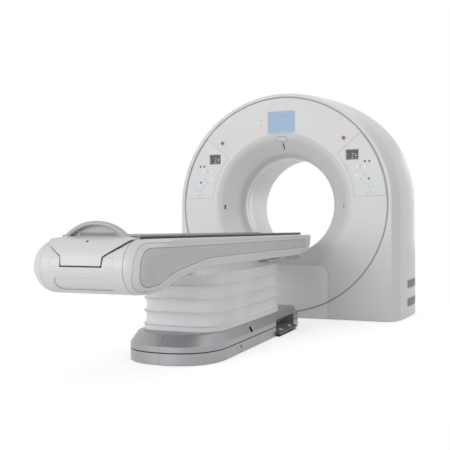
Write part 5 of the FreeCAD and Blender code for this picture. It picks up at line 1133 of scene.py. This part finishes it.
# %% Stop buttons
COLLAR = [(0.0155, -0.005, 0.0006), (0.021, -0.005, 0.0012), (0.024, -0.0035, 0.0015),
          (0.024, 0.0, 0), (0.019, 0.0, 0), (0.019, 0.040, 0), (0.0155, 0.040, 0)]
HEAD = [(0.0, -0.0132), (0.006, -0.01315), (0.0095, -0.0129), (0.0120, -0.0120), (0.0138, -0.0104),
        (0.0147, -0.0085), (0.0150, -0.0065), (0.0150, -0.003), (0.008, -0.003), (0.008, 0.031), (0.0, 0.031)]
for side, word in SIDES:
    place = (side * STOP[0], STOP[1])
    collar = rounded([(r, deep(d), bend_radius) for r, d, bend_radius in COLLAR], 4)
    dress(make("stop_collar_" + word, turned(collar, 48, place)), "collar_pale", "gantry",
          "stop_switches", crease=50)
    head = make("stop_head_" + word, turned([(r, deep(d)) for r, d in HEAD], 48, place), 1e-6)
    dress(head, "stop_red", "stop_" + word, "stop_button_" + word, crease=60)

# %% [markdown]
# Small things on the flanks that show as dark points: a pair of screws across the front seam, low
# on each side, and a short slot between the vents and the hip, a dark block whose colour is
# painted shade. Dots in the paint would do from afar; real heads with a slot still hold up close by.

# %% Flank details
SLOT_DEPTH = 0.350


def screw(side, depth, z):
    """Flat screw head with a slot, square to the flank."""
    out = float(surround_at(depth)[0] if depth < SHELL_DEPTH else flank(depth)[0])
    profile = [(0.0, out + 0.0012), (0.0035, out + 0.0011), (0.0045, out + 0.0004), (0.0045, out - 0.003),
               (0.0, out - 0.003)]
    head = make("screw", turned(profile, 24, (deep(depth), z), "x"), 1e-6)
    carve(head, plate("slit", slab(deep(depth), z, 0.0012, 0.0065), out + 0.0006, out + 0.01, "x"))
    if side < 0:
        to_left(head.data)
    return head


screws = [screw(side, depth, 0.133) for side in (-1, 1) for depth in (0.098, 0.123)]
dress(join("flank_screws", *screws), "screw_grey", "gantry")
out = float(flank(SLOT_DEPTH)[0])
# Each slot is a dark block in the flank, not an opening: its colour is painted shade.
slots = [plate("slot", slab(deep(SLOT_DEPTH), 0.600, 0.034, 0.007, 0.003),
               *sorted((side * (out - 0.004), side * (out + 0.0004))), "x", 5) for side in (-1, 1)]
dress(join("flank_slots_painted_shade", *slots), "dark_trim", "gantry")

# %% [markdown]
# The couch's side covers are deep moulded shells. Their side view is an outline with rounded
# corners; their edge is rolled over by $c$, a quarter circle from the outline to the flat flank.
# A bevel modifier takes one width for all; here $c$ is a function of the place: large at the foot
# end, so that the nose is round both ways, and small further on.

# %% Shape of the couch
COUCH_HALF = 0.345
NOSE = 2.918
TOP = 0.770
NOSE_RADIUS = 0.140
NOSE_ROUND = 0.121
EDGE_ROUND = 0.010


def turning(outline):
    """1 for an anticlockwise outline and -1 for a clockwise one, by the sign of its area."""
    u, v = np.array([point[:2] for point in outline], float).T
    return 1.0 if np.sum(u * np.roll(v, -1) - np.roll(u, -1) * v) > 0 else -1.0


def offset(corners, distance):
    """Closed outline of (u, v, radius) corners moved inwards."""
    if not distance:
        return corners
    side = turning(corners)
    moved = []
    for i, corner in enumerate(corners):
        b, first, second, cross = bend(corners[i - 1], corner, corners[(i + 1) % len(corners)])
        scale = distance / (1 + first @ second)
        shift = np.array([-(first[1] + second[1]), first[0] + second[0]]) * side * scale
        radius = corner[2] + (-distance if cross * side > 0 else distance) if corner[2] else 0.0
        moved.append((b[0] + shift[0], b[1] + shift[1], max(radius, 0.0)))
    return moved


def couch_profile(margin=0.0):
    """Side view (y, z), anticlockwise seen from the right, moved inwards by margin."""
    nose = NOSE_RADIUS - 0.00005
    corners = [(ahead(0.186), TOP, 0.012), (ahead(NOSE), TOP, nose), (ahead(NOSE), TOP - 0.280, nose),
               (ahead(2.740), TOP - 0.280, 0.100), (ahead(2.570), 0.563, 0.500), (ahead(2.230), 0.603, 0.800),
               (ahead(0.560), 0.603, 0.700), (ahead(0.255), 0.628, 0.060), (ahead(0.202), 0.690, 0.120)]
    return np.array(rounded(offset(corners, margin), 14))


def dense(points, longest):
    """The same closed outline with long straight stretches divided and doubled points left out."""
    out = []
    for a, b in zip(points, np.roll(points, -1, axis=0)):
        length = np.linalg.norm(b - a)
        if length >= 0.0003:
            parts = max(1, int(math.ceil(length / longest)))
            out += [a + (b - a) * i / parts for i in range(parts)]
    return np.array(out)


print("couch: points in the side view", len(couch_profile()))

# %% [markdown]
# The rolled edge needs, at each point of the outline, the direction that points into it: the mean
# of the directions before and after, turned by a right angle. The rings of the edge then step
# inwards by $c(1-\cos a)$ as they step outwards by $c \sin a$. Lofting between two curves would
# give a straight slope instead.

# %% Rolled edge of the couch
def inward(points):
    """Unit normals of a closed outline, pointing into it."""
    step = 0
    for side in (np.roll(points, -1, axis=0) - points, points - np.roll(points, 1, axis=0)):
        step = step + side / np.linalg.norm(side, axis=1)[:, None]
    step /= np.linalg.norm(step, axis=1)[:, None]
    return np.stack([-step[:, 1], step[:, 0]], axis=1) * turning(points)


def nose_roll(points, margin):
    """Radius of the rolled edge along the couch, falling faster on the underside."""
    under = points[:, 1] < TOP - NOSE_RADIUS
    start, run = np.where(under, ahead(2.800), ahead(2.778)), np.where(under, 0.120, 0.190)
    share = np.clip((points[:, 0] - start) / run, 0, 1)
    share = share * share * (3 - 2 * share)
    large, small = NOSE_ROUND - margin, max(EDGE_ROUND - margin, 0.003)
    return large + (small - large) * share


def couch_side(margin, inner, name="couch_side"):
    """Right side between x = inner and the flank: $p = p_0 + n c(1-\\cos a)$, $x = x_1 - c + c\\sin a$."""
    points = dense(couch_profile(margin), 0.05)
    outer = COUCH_HALF - margin
    normal, c = inward(points), nose_roll(points, margin)
    first = np.arcsin(np.clip((inner - outer + c) / c, 0, 1))
    rings = []
    for part in np.linspace(0, 1, 12):
        angle = first + (math.pi / 2 - first) * part
        p = points + normal * (c * (1 - np.cos(angle)))[:, None]
        x = outer - c + c * np.sin(angle)
        if part == 0:
            rings.append(np.stack([np.minimum(x, inner), p[:, 0], p[:, 1]], -1))
        rings.append(np.stack([x, p[:, 0], p[:, 1]], -1))
    return make(name, capped(rings), 1e-6)


print("couch: roll at the foot", NOSE_ROUND, "and along the side", EDGE_ROUND)

# %% [markdown]
# Each side has a broad shallow step and in it a recess for a grey inlay. The recess has to be as
# deep on the rolled nose as on the flat, so its cutter is a prism of the inlay's outline with a
# slightly smaller side taken out of it. The inlay is what the two share, with a seam left round it.

# %% Couch sides and inlays
CAP_HALF = 0.2377
CAP_SEAM = 0.0022
STEP_WIDTH = 0.026
INLAY = [(ahead(0.346), 0.733, 0.010), (ahead(2.875), 0.725, 0.095), (ahead(2.875), 0.502, 0.078),
         (ahead(2.590), 0.598, 0.500), (ahead(2.200), 0.654, 0.800), (ahead(0.346), 0.667, 0.010)]


def side_recess(grow, depth):
    """Cutter of even depth in the rolled side, its outline the inlay's and a bit more."""
    return carve(plate("recess", offset(INLAY, -grow), 0.25, 0.40, "x", 14), couch_side(depth, 0.20))


side = carve(couch_side(0.0, CAP_HALF + CAP_SEAM, "couch_side_right"),
             side_recess(STEP_WIDTH, 0.0025), side_recess(0.0018, 0.0080))
inlay = carve(couch_side(0.0030, 0.26, "side_inlay_right"), couch_side(0.0081, 0.20))
carve(inlay, plate("edge", offset(INLAY, 0.0016), 0.24, 0.40, "x", 14), operation="INTERSECT")
for thing in (side, mirrored(side, "couch_side_left")):
    dress(thing, "couch_white", "couch", "couch_sides", edge=0.0010, crease=40)
for thing in (inlay, mirrored(inlay, "side_inlay_left")):
    dress(thing, "inlay_grey", "couch", "side_inlays", edge=0.0010, crease=40)

# %% [markdown]
# The end cap closes the foot of the couch between the sides. It is the couch's side view carried
# straight across, with the channel of what slides cut out, and a grip recess of even depth. The
# gap along the channel is dark on the real machine, since nothing in it catches light; a thin
# black lining down in the gap is painted shade that keeps it so from every side.

# %% End cap
CAP_GAP = 0.0075


def both_halves(points):
    """An outline from one half: the points, then their mirror image backwards."""
    return points + flip(points)[::-1]


def moving_section(margin, top):
    """Section (x, z) of what slides: carriage in its channel, shoulders, table edge."""
    g = margin
    return both_halves([(0.115 + g, 0.640 - g, 0), (0.119 + g, 0.686 - g * 0.5, 0),
                        (0.199 + g * 0.7, 0.737 - g, 0), (0.235 + g * 0.7, TOP - 0.002 - g, 0),
                        (0.235 + g * 0.7, top, 0)])


def couch_prism(name, margin, half):
    """The couch's side view carried straight across."""
    return make(name, prism(dense(couch_profile(margin), 0.2).tolist(), -half, half, "x"))


def end_cap():
    """Foot end with the channel and the grip recess, 5 mm deep."""
    grip = plate("cut", slab(0, 0.5495, 0.339, 0.069, 0.031), ahead(3.0), ahead(2.8))
    carve(grip, couch_prism("kept", 0.005, 0.3))
    front = plate("cut", box(-0.4, 0.4, 0.3, 1.0), ahead(2.700), 0.0)
    slide = plate("cut", moving_section(CAP_GAP, 0.95), ahead(3.0), ahead(2.69))
    return carve(couch_prism("end_cap_skin", 0.0, CAP_HALF), front, slide, grip)


def couch_gap_painted_shade():
    """Black strip down in the gap between the cap and what slides past it: painted shade."""
    lining = plate("couch_gap_painted_shade", moving_section(CAP_GAP - 0.0002, 0.9), ahead(2.95), ahead(2.71))
    carve(lining, plate("cut", moving_section(0.0015, 0.95), ahead(3.0), ahead(2.69)))
    return carve(lining, couch_prism("kept", 0.006, 0.3), operation="INTERSECT")


dress(end_cap(), "couch_white", "couch", "end_cap", edge=0.0016, crease=30)
dress(couch_gap_painted_shade(), "gap_black", "couch")

# %% [markdown]
# What slides into the bore: the dished tabletop, its dark head end, and the cover over its foot
# end. The cover is rounded over like the nose and ends in a tab. It is the meeting of two prisms,
# its side view carried across and its section carried along, which is how such a cover is drawn
# by its makers too, and it keeps both outlines true.

# %% Foot cover and tabletop
FOOT_SEAM = 2.752
TABLE_HEAD = 0.426
TIP_END = 0.060
COVER_PROFILE = [(ahead(FOOT_SEAM), 0.640, 0), (ahead(FOOT_SEAM), 0.789, 0),
                 (ahead(NOSE), 0.772, NOSE_RADIUS), (ahead(NOSE), 0.625, 0), (ahead(NOSE - 0.005), 0.635, 0)]


def foot_cover():
    """Cover of the table's foot end."""
    body = plate("foot_cover_skin", COVER_PROFILE, -0.4, 0.4, "x", 16)
    under = [(x, z, 0.006) for x, z, _ in moving_section(0.0, 0.82) if z < 0.75]
    crown = [(0.235, 0.766, 0), (0.235, 0.7712, 0.003), (0.190, 0.7805, 0.2), (0.090, 0.7875, 0.4)]
    section = under[:3] + crown + [(0.0, 0.7895, 0)] + flip(crown)[::-1] + under[3:]
    return carve(body, plate("cut", section, ahead(3.0), ahead(FOOT_SEAM + 0.001), steps=5),
                 operation="INTERSECT")


dress(foot_cover(), "couch_white", "table", "foot_cover", edge=0.0022, crease=30)
table = both_halves([(-0.235, 0.790, 0.004), (-0.235, 0.773, 0.005), (-0.160, 0.748, 0.060),
                     (-0.060, 0.740, 0.060)])
table += both_halves([(0.221, 0.790, 0.006), (0.070, 0.772, 0.500)])
dress(plate("tabletop_skin", table, ahead(FOOT_SEAM - 0.001), ahead(TABLE_HEAD)), "table_shell", "table",
      "tabletop", edge=0.0015, crease=34)
# Thin black strips low on both edges of the tabletop: painted shadow of the gap between the table and the
# couch's sides.
edge_shadow_strips = [plate("trim", slab(side * 0.2352, 0.7775, 0.0012, 0.008, 0.0005), ahead(FOOT_SEAM - 0.002),
               ahead(TABLE_HEAD + 0.001), steps=3) for side in (-1, 1)]
dress(join("table_edge_painted_shadow", *edge_shadow_strips), "dark_trim", "table")
tongue = both_halves([(-0.222, 0.789, 0.004), (-0.222, 0.771, 0.008), (-0.090, 0.755, 0.060)])
tongue += both_halves([(0.210, 0.789, 0.006), (0.080, 0.772, 0.400)])
tip = plate("head_extension_skin", tongue, ahead(TABLE_HEAD), ahead(TIP_END))
plan = [(-0.222, ahead(TABLE_HEAD), 0), (0.222, ahead(TABLE_HEAD), 0),
        (0.222, ahead(TIP_END), 0.045), (-0.222, ahead(TIP_END), 0.045)]
carve(tip, plate("plan", plan, 0.6, 0.9, "z", 10), operation="INTERSECT")
dress(tip, "tip_dark", "table", "head_extension", edge=0.002, crease=34)

# %% [markdown]
# The handle is a bent bar: a rounded square section swept over an arch, and a thin plate behind
# it closes the arch. A curve object with a bevel would sweep it too, but always with the same
# round section. Under the arch, low on the plate, lies a dark strip of painted shade.

# %% Handle
HANDLE = (0.267, 0.595, 0.023)  # radius, height of its centre, thickness
HANDLE_SPAN = (2.765, 2.803)
HANDLE_FOOT = TOP - 0.006


def arch_handle():
    """Section (r, y) at angles $a$: $x = r\\sin a,\\ z = z_0 + r\\cos a$, cut off level at the foot."""
    radius, centre, tube = HANDLE
    near, far = ahead(HANDLE_SPAN[1]), ahead(HANDLE_SPAN[0])
    inner = radius - tube
    r, y = np.array(rounded(box(inner, radius, near, far, 0.009), 6)).T
    reach = math.acos((HANDLE_FOOT - centre) / radius) + 0.05
    rings = [np.column_stack([r * math.sin(a), y, centre + r * math.cos(a)])
             for a in np.linspace(-reach, reach, 72)]
    hoop = make("handle_hoop", capped(rings))
    carve(hoop, plate("cut", box(-0.4, 0.4, 0.5, HANDLE_FOOT), ahead(2.9), ahead(2.7)))
    web = inner + 0.006
    reach = math.acos((HANDLE_FOOT - centre) / web)
    rim = [(math.sin(a) * web, centre + math.cos(a) * web) for a in np.linspace(-reach, reach, 60)]
    return hoop, make("handle_web", prism(rim, far - 0.008, far))


hoop, web = arch_handle()
dress(hoop, "handle_grey", "table", "arch_handle", crease=40)
dress(web, "web_grey", "table", "arch_handle", edge=0.0006)
# A dark grey strip under the arch: painted shade where the plate meets the foot cover.
strip = plate("handle_strip_painted_shade", slab(0, 0.7935, 0.219, 0.016, 0.004), ahead(2.7738), ahead(2.770), steps=5)
dress(strip, "slot_grey", "table", edge=0.0005)

# %% [markdown]
# Fine lines on the cap mark two small patches, and a hole sits in the middle of the foot cover.
# The lines are thin strips that follow the nose's arc; drawn as straight bars they would sink
# into it. The hole is a dark turned plug, painted shade for the hole, tilted to stand square to
# the cover's curve.

# %% Lines and hole on the foot end
LINE = 0.0005                   # half width of a drawn line
PATCH = (0.1235, 0.183, 0.636, 0.681)


def nose_arc(low, high, lift, count=8):
    """(y, z) points of the nose between two heights, on a circle a little over its surface."""
    z = np.linspace(low, high, count)
    run = np.sqrt((NOSE_RADIUS + lift) ** 2 - (z - (TOP - NOSE_RADIUS)) ** 2)
    return np.stack([ahead(NOSE - NOSE_RADIUS) - run, z], -1)


def nose_strip(x0, x1, low, high):
    """Thin line on the nose, following its curve."""
    layers = [np.stack([np.column_stack([np.full(8, x), nose_arc(low, high, lift)]) for x in (x0, x1)])
              for lift in (0.0002, -0.0006)]
    return make("strip", shell(*layers))


lines = []
for side in (-1, 1):
    near, far, low, high = PATCH
    x0, x1 = sorted((side * near, side * far))
    lines += [nose_strip(x0, x1, z - LINE, z + LINE) for z in (low, high)]
    lines.append(nose_strip(side * far - LINE, side * far + LINE, low, high))
dress(join("cap_lines", *lines), "line_grey", "couch")

line = np.array(rounded(COVER_PROFILE, 64))
spot = int(np.argmin(np.abs(line[:, 0] - ahead(2.860)) + (line[:, 1] < 0.70)))
run = line[spot + 1] - line[spot - 1]
outward = np.array([-abs(run[1]), abs(run[0])]) / np.linalg.norm(run)
# The hole is a dark plug set in the cover: painted shade.
hole = make("foot_hole_painted_shade", turned([(0.0, -0.0003), (0.0052, -0.0003), (0.0064, -0.0012), (0.0070, -0.0002),
                                 (0.0070, 0.006), (0.0, 0.006)], 28, (0, 0)), 1e-6)
tilted(hole, math.atan2(-outward[1], -outward[0]), (0.0, *line[spot]))
dress(hole, "dark_trim", "table", crease=50)

# %% [markdown]
# Under the couch's head end runs an accessory rail on either side, a flat steel bar on four
# brackets with a bolt through each. It is the same for both sides but for the sign of x, so one
# function makes both from the side it is given.

# %% Accessory rails
def rail(side):
    """Bar, four brackets and four bolts on one side."""
    x1 = side * (COUCH_HALF - 0.004)
    x0 = x1 - side * 0.010
    z = 0.603 - 0.008
    y0, y1 = ahead(1.212), ahead(0.480)
    pieces = [plate("bar", slab((x0 + x1) / 2, z - 0.0125, 0.010, 0.025, 0.0025), y0, y1, steps=5)]
    for i in range(4):
        y = y0 + 0.030 + i * (y1 - y0 - 0.060) / 3
        near, far = sorted((x0, x0 - side * 0.018))
        pieces.append(plate("bracket", slab(y, z, 0.028, 0.036, 0.003), near, far, "x", 4))
        bolt = [(0.0, 0.002), (0.004, 0.0018), (0.0055, 0.0006), (0.0055, -0.004), (0.0, -0.004)]
        bolt = [(r, x1 + side * out) for r, out in bolt]
        pieces.append(make("bolt", turned(bolt, 20, (y, z - 0.0125), "x"), 1e-6))
    return join("rail", *pieces)


rails = join("accessory_rail_bars", rail(1), rail(-1))
dress(rails, "rail_steel", "couch", "accessory_rails", edge=0.0008, crease=40)

# %% [markdown]
# The plinth is folded sheet metal round the scissor lift: upright skirt, shadow gap, upright band,
# sloping shoulder, flat top. Its plan is a closed loop with a bow at the foot end and round
# corners at the head end. Extruding the plan and bevelling it would give every edge the same
# slope; here the profile is carried round the plan, each of its points with its own margin.

# %% Shape of the plinth
PLINTH_HALF = 0.318
BOW_WEIGHT = 0.95


def bow(start, corner, end, count=40):
    """Points of the weighted quadratic curve $p(t)$ of the crown, without its last point."""
    t = np.linspace(0, 1, count, endpoint=False)[:, None]
    a, b, c = (1 - t) ** 2, 2 * BOW_WEIGHT * t * (1 - t), t ** 2
    start, corner, end = (np.array(p, float) for p in (start, corner, end))
    return (a * start + b * corner + c * end) / (a + b + c)


def plinth_loop(margin):
    """Plan of the plinth (x, y), from the right end of the bow round by its tip and the head end."""
    half = PLINTH_HALF - margin
    head = ahead(0.415 + margin)
    corner = 0.070 - margin / 2
    nose = ahead(1.880)
    tip = nose - 0.298 + margin * 2.1
    straight = np.linspace(nose, head - corner, 30)[:-1]
    left, right = (np.linspace(*ends, 12)[:-1] for ends in ((math.pi, math.pi / 2), (math.pi / 2, 0)))
    return np.concatenate([
        bow((half, nose), (half, tip), (0, tip)),
        bow((0, tip), (-half, tip), (-half, nose)),
        np.stack([np.full(29, -half), straight], -1),
        np.stack([-half + corner + corner * np.cos(left), head - corner + corner * np.sin(left)], -1),
        np.stack([np.linspace(-half + corner, half - corner, 12)[:-1], np.full(11, head)], -1),
        np.stack([half - corner + corner * np.cos(right), head - corner + corner * np.sin(right)], -1),
        np.stack([np.full(29, half), straight[::-1] + (straight[1] - straight[0])], -1)])


def plinth_ring(name, profile, steps=8):
    """Closed solid from a closed (margin, z) profile carried round the plinth's plan."""
    grid = np.array([[(x, y, z) for x, y in plinth_loop(margin)] for margin, z in rounded(profile, steps)])
    return make(name, (grid.reshape(-1, 3), grid_faces(*grid.shape[:2], wrap=True, closed=True)))


print("plinth: points in the plan", len(plinth_loop(0.0)))

# %% [markdown]
# Into the plinth go a notch for the pedals on each side, the joint of its two halves, and small
# openings for the castor lock and the levelling foot, each with a dark back that is painted
# shade for the inside. These are cut, since they break the loop. Plugs close two unused screw
# holes a side.

# %% Plinth
CASTOR_LOCK = (ahead(1.481), 0.128)
LEVEL_HOLE = (ahead(1.672), 0.045)
NOTCH = (0.583, 1.003)


def both_sides(name, outline, near, far, steps=8):
    """The same block on either side, between two distances from the centre plane."""
    return [plate(name, outline, *sorted((side * near, side * far)), "x", steps) for side in (-1, 1)]


def notches():
    """Cutters for the pedals on both sides."""
    near, far = ahead(NOTCH[0]), ahead(NOTCH[1])
    return [plate("notch", box(side * 0.222, side * 0.45, far, near), -0.01, 0.128, "z") for side in (-1, 1)]


def joint():
    """Cutter for the joint down the middle of the bow."""
    return plate("joint", box(-0.0007, 0.0007, ahead(2.3), ahead(2.085)), -0.01, 0.2, "z")


cover = plinth_ring("plinth_cover_skin", [(0.0, 0.078, 0.0012), (0.0, 0.112, 0.005), (0.034, 0.176, 0.008),
                                          (0.070, 0.176, 0), (0.070, 0.172, 0), (0.038, 0.172, 0),
                                          (0.004, 0.112, 0), (0.004, 0.078, 0)], 5)
lock_openings = both_sides("opening", slab(*CASTOR_LOCK, 0.034, 0.036, 0.007), 0.28, 0.35, 5)
carve(cover, *notches(), joint(), *lock_openings)
dress(cover, "plinth_metal", "gantry", "plinth_cover", edge=0.0010, crease=34)
lid = make("plinth_lid", prism(plinth_loop(0.069).tolist(), 0.172, 0.1758, "z"))
dress(lid, "plinth_metal", "gantry", "plinth_cover", edge=0.0005)
skirt = plinth_ring("plinth_skirt_skin", [(0.0, 0.003, 0.002), (0.0, 0.072, 0.0016), (0.003, 0.072, 0),
                                          (0.003, 0.0772, 0), (0.0055, 0.0772, 0), (0.0055, 0.003, 0)], 4)
foot_openings = both_sides("opening", slab(*LEVEL_HOLE, 0.020, 0.020, 0.0098), 0.28, 0.35, 5)
carve(skirt, *notches(), joint(), *foot_openings)
dress(skirt, "plinth_metal", "gantry", "plinth_skirt", edge=0.0010, crease=34)
# A black strip down in the shadow gap between skirt and band: painted shade, so that the gap reads dark.
shade = plinth_ring("plinth_gap_painted_shade", [(0.0021, 0.0712, 0), (0.0021, 0.0792, 0), (0.0036, 0.0792, 0),
                                         (0.0036, 0.0712, 0)])
dress(carve(shade, *notches()), "gap_black", "gantry")
backs, plugs = [], []
# Dark plates behind the openings: painted shade of the plinth's inside.
for middle, reach in ((CASTOR_LOCK, 0.288), (LEVEL_HOLE, 0.309)):
    backs += both_sides("back", slab(*middle, 0.050, 0.046, 0.004), reach - 0.003, reach, 3)
for distance in (1.7965, 1.268):
    plug = slab(ahead(distance), 0.044, 0.007, 0.024, 0.003)
    plugs += both_sides("plug", plug, 0.316, PLINTH_HALF + 0.0004, 4)
dress(join("plinth_backs_painted_shade", *backs), "dark_trim", "gantry")
dress(join("plinth_plugs", *plugs), "bearing_steel", "gantry", edge=0.0002)

# %% [markdown]
# Two foot pedals on each side raise and lower the couch. Each is a rubber block with a slanted
# top, drawn as its end view carried along the plinth, and has a pale diamond let into the slope.
# The diamond is laid out along the slope and its normal, so that it stays flat on the rubber.

# %% Pedals
PEDAL_START = NOTCH[0] + 0.009
PEDAL_PITCH = 0.206
PEDAL_LENGTH = 0.196
PEDAL_AXIS = (0.240, 0.046)


def pedal(name, side, index):
    """Rubber block from its end view (x, z)."""
    x, z = PEDAL_AXIS
    start = PEDAL_START + index * PEDAL_PITCH
    view = [(x - 0.009, z - 0.009, 0.006), (x + 0.030, z - 0.026, 0.010), (0.344, 0.010, 0.004),
            (0.349, 0.030, 0.005), (x + 0.020, z + 0.017, 0.012), (x - 0.009, z + 0.011, 0.006)]
    return plate(name, view if side > 0 else flip(view), ahead(start + PEDAL_LENGTH), ahead(start), steps=6)


def pedal_mark(name, side, index):
    """Pale diamond: corners along the slope and along y, at two heights over the slope."""
    middle = ahead(PEDAL_START + index * PEDAL_PITCH + PEDAL_LENGTH / 2)
    low, high = np.array([0.349, 0.030]), np.array([0.260, 0.063])
    along = (high - low) / np.linalg.norm(high - low)
    normal = np.array([along[1], -along[0]])
    centre = low + (high - low) * 0.34
    rings = []
    for lift in (-0.0010, 0.0006):
        spots = [(centre + along * u + normal * lift, middle + v)
                 for u, v in ((-0.017, 0), (0, -0.024), (0.017, 0), (0, 0.024))]
        rings.append([(side * p[0], y, p[1]) for p, y in spots])
    return make(name, capped(rings))


for side, word in SIDES:
    for index, way in enumerate(("up", "down")):
        body = "pedal_%s_%s" % (way, word)
        dress(pedal(body + "_pad", side, index), "pedal_dark", body, body, edge=0.002, crease=36)
        dress(pedal_mark(body + "_mark", side, index), "mark_pale", body, edge=0.0004)

# %% [markdown]
# The bellows hides the scissor lift: coated cloth with pointed welts, fixed to the plinth below
# and to the couch above. Cloth simulation could fold it, but it is held tight at both ends and
# its welts are sewn, so its shape is a surface in its own right: a plan with bowed long sides,
# drawn in between the welts, with soft waves. It is made twice, one standing on the plinth and a
# slightly smaller one hanging on the couch. At rest they fill the same height; as the couch
# moves, the upper one goes with it and the lower one stays on the plinth.

# %% Bellows
BELLOWS_LOW, BELLOWS_HIGH = 0.1763, 0.5467
BELLOWS_BOW = 0.045
BELLOWS_SPAN = (0.742, 1.990)
BELLOWS_MIDDLE = ahead(1.3665)
WELTS = 4
WELT_DEPTH = 0.017
HEM = 0.036


def bellows_loop(shrink):
    """Plan (x, y): a rounded rectangle whose half width is $w (1.03 - 0.045 s^2)$ along its length."""
    half, head, foot = 0.284 - shrink, BELLOWS_SPAN[0] + shrink, BELLOWS_SPAN[1] - shrink
    corners = np.array(rounded(box(-half, half, ahead(foot), ahead(head), 0.135 - shrink / 2), 14))
    ends = np.roll(corners, -1, axis=0)
    parts = np.where(np.arange(len(corners)) % 15 == 14, 20, 1)
    points = np.concatenate([a + (b - a) * (np.arange(n) / n)[:, None]
                             for a, b, n in zip(corners, ends, parts)])
    share = (points[:, 1] - ahead((foot + head) / 2)) / ((foot - head) / 2)
    points[:, 0] *= 1.03 - BELLOWS_BOW * share ** 2
    return points


def bellows_rows():
    """(shrink, z) of the cloth from hem to top: straight hem, then a band for each welt."""
    pitch = (BELLOWS_HIGH - BELLOWS_LOW - HEM) / WELTS
    rows = [(shrink, BELLOWS_LOW + z) for shrink, z in
            ((0.004, 0.0), (0.0045, 0.009), (0.0058, 0.020), (0.006, 0.027), (0.003, 0.0325))]
    band = ((0.0, 0.0), (0.0030, 0.0012), (0.0090, 0.0045), (0.0125, 0.0090), (0.0150, 0.020),
            (0.0165, 0.033), (WELT_DEPTH, pitch * 0.5), (0.0160, pitch * 0.68), (0.0130, pitch * 0.82),
            (0.0096, pitch - 0.009), (0.0042, pitch - 0.0035))
    for i in range(WELTS):
        rows += [(shrink, BELLOWS_LOW + HEM + i * pitch + z) for shrink, z in band]
    return rows + [(0.002, BELLOWS_HIGH)]


def bellows_cloth(name, smaller):
    """Closed shell 1.2 mm thick, rippled by $\\sin(9a + 1.7\\sin 4a)$ where it is drawn in."""
    rows = bellows_rows()
    outer = np.array([np.column_stack([plan, np.full(len(plan), z)])
                      for plan, z in ((bellows_loop(shrink + smaller), z) for shrink, z in rows)])
    angle = np.arange(outer.shape[1]) * 2 * np.pi / outer.shape[1]
    depth = np.array([shrink for shrink, _ in rows])[:, None] / WELT_DEPTH
    ripple = 0.0012 * depth * np.sin(9 * angle + 1.7 * np.sin(4 * angle))[None, :]
    out = outer[..., :2] - np.array([0.0, BELLOWS_MIDDLE])
    out /= np.linalg.norm(out, axis=-1, keepdims=True)
    outer[..., :2] -= out * np.abs(ripple)[..., None]
    inner = outer.copy()
    inner[..., :2] -= out * 0.0012
    return make(name, shell(outer, inner, wrap=True)), outer


girth_line = bellows_loop(0.006)
for name, smaller, body, end, held_by, solids in (
        ("bellows_lower", 0.0, "gantry", BELLOWS_LOW, "plinth_cover_skin", ["bellows"]),
        ("bellows_upper", 0.0015, "couch", BELLOWS_HIGH, "under_plate", [])):
    cloth, grid = bellows_cloth(name, smaller)
    dress(cloth, "bellows_fabric", body, *solids, crease=70)
    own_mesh(cloth)

# %% [markdown]
# The other solids of the frame keep their own shape: the scissor, the bearing, the rotor and what
# it carries. Their material slots bear the names of finishes above, so each gets its finish by
# name. The pedals' wells are of the plinth's metal.

# %% Finishes on the solids of the frame
kept = 0
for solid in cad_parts:
    for place in bpy.data.objects[solid].material_slots:
        name = place.material.name.split(".")[0] if place.material else ""
        if name in MATERIALS:
            place.material = MATERIALS["plinth_metal" if solid == "pedal_wells" else name]
            kept += 1
print("material slots of the solids:", kept)
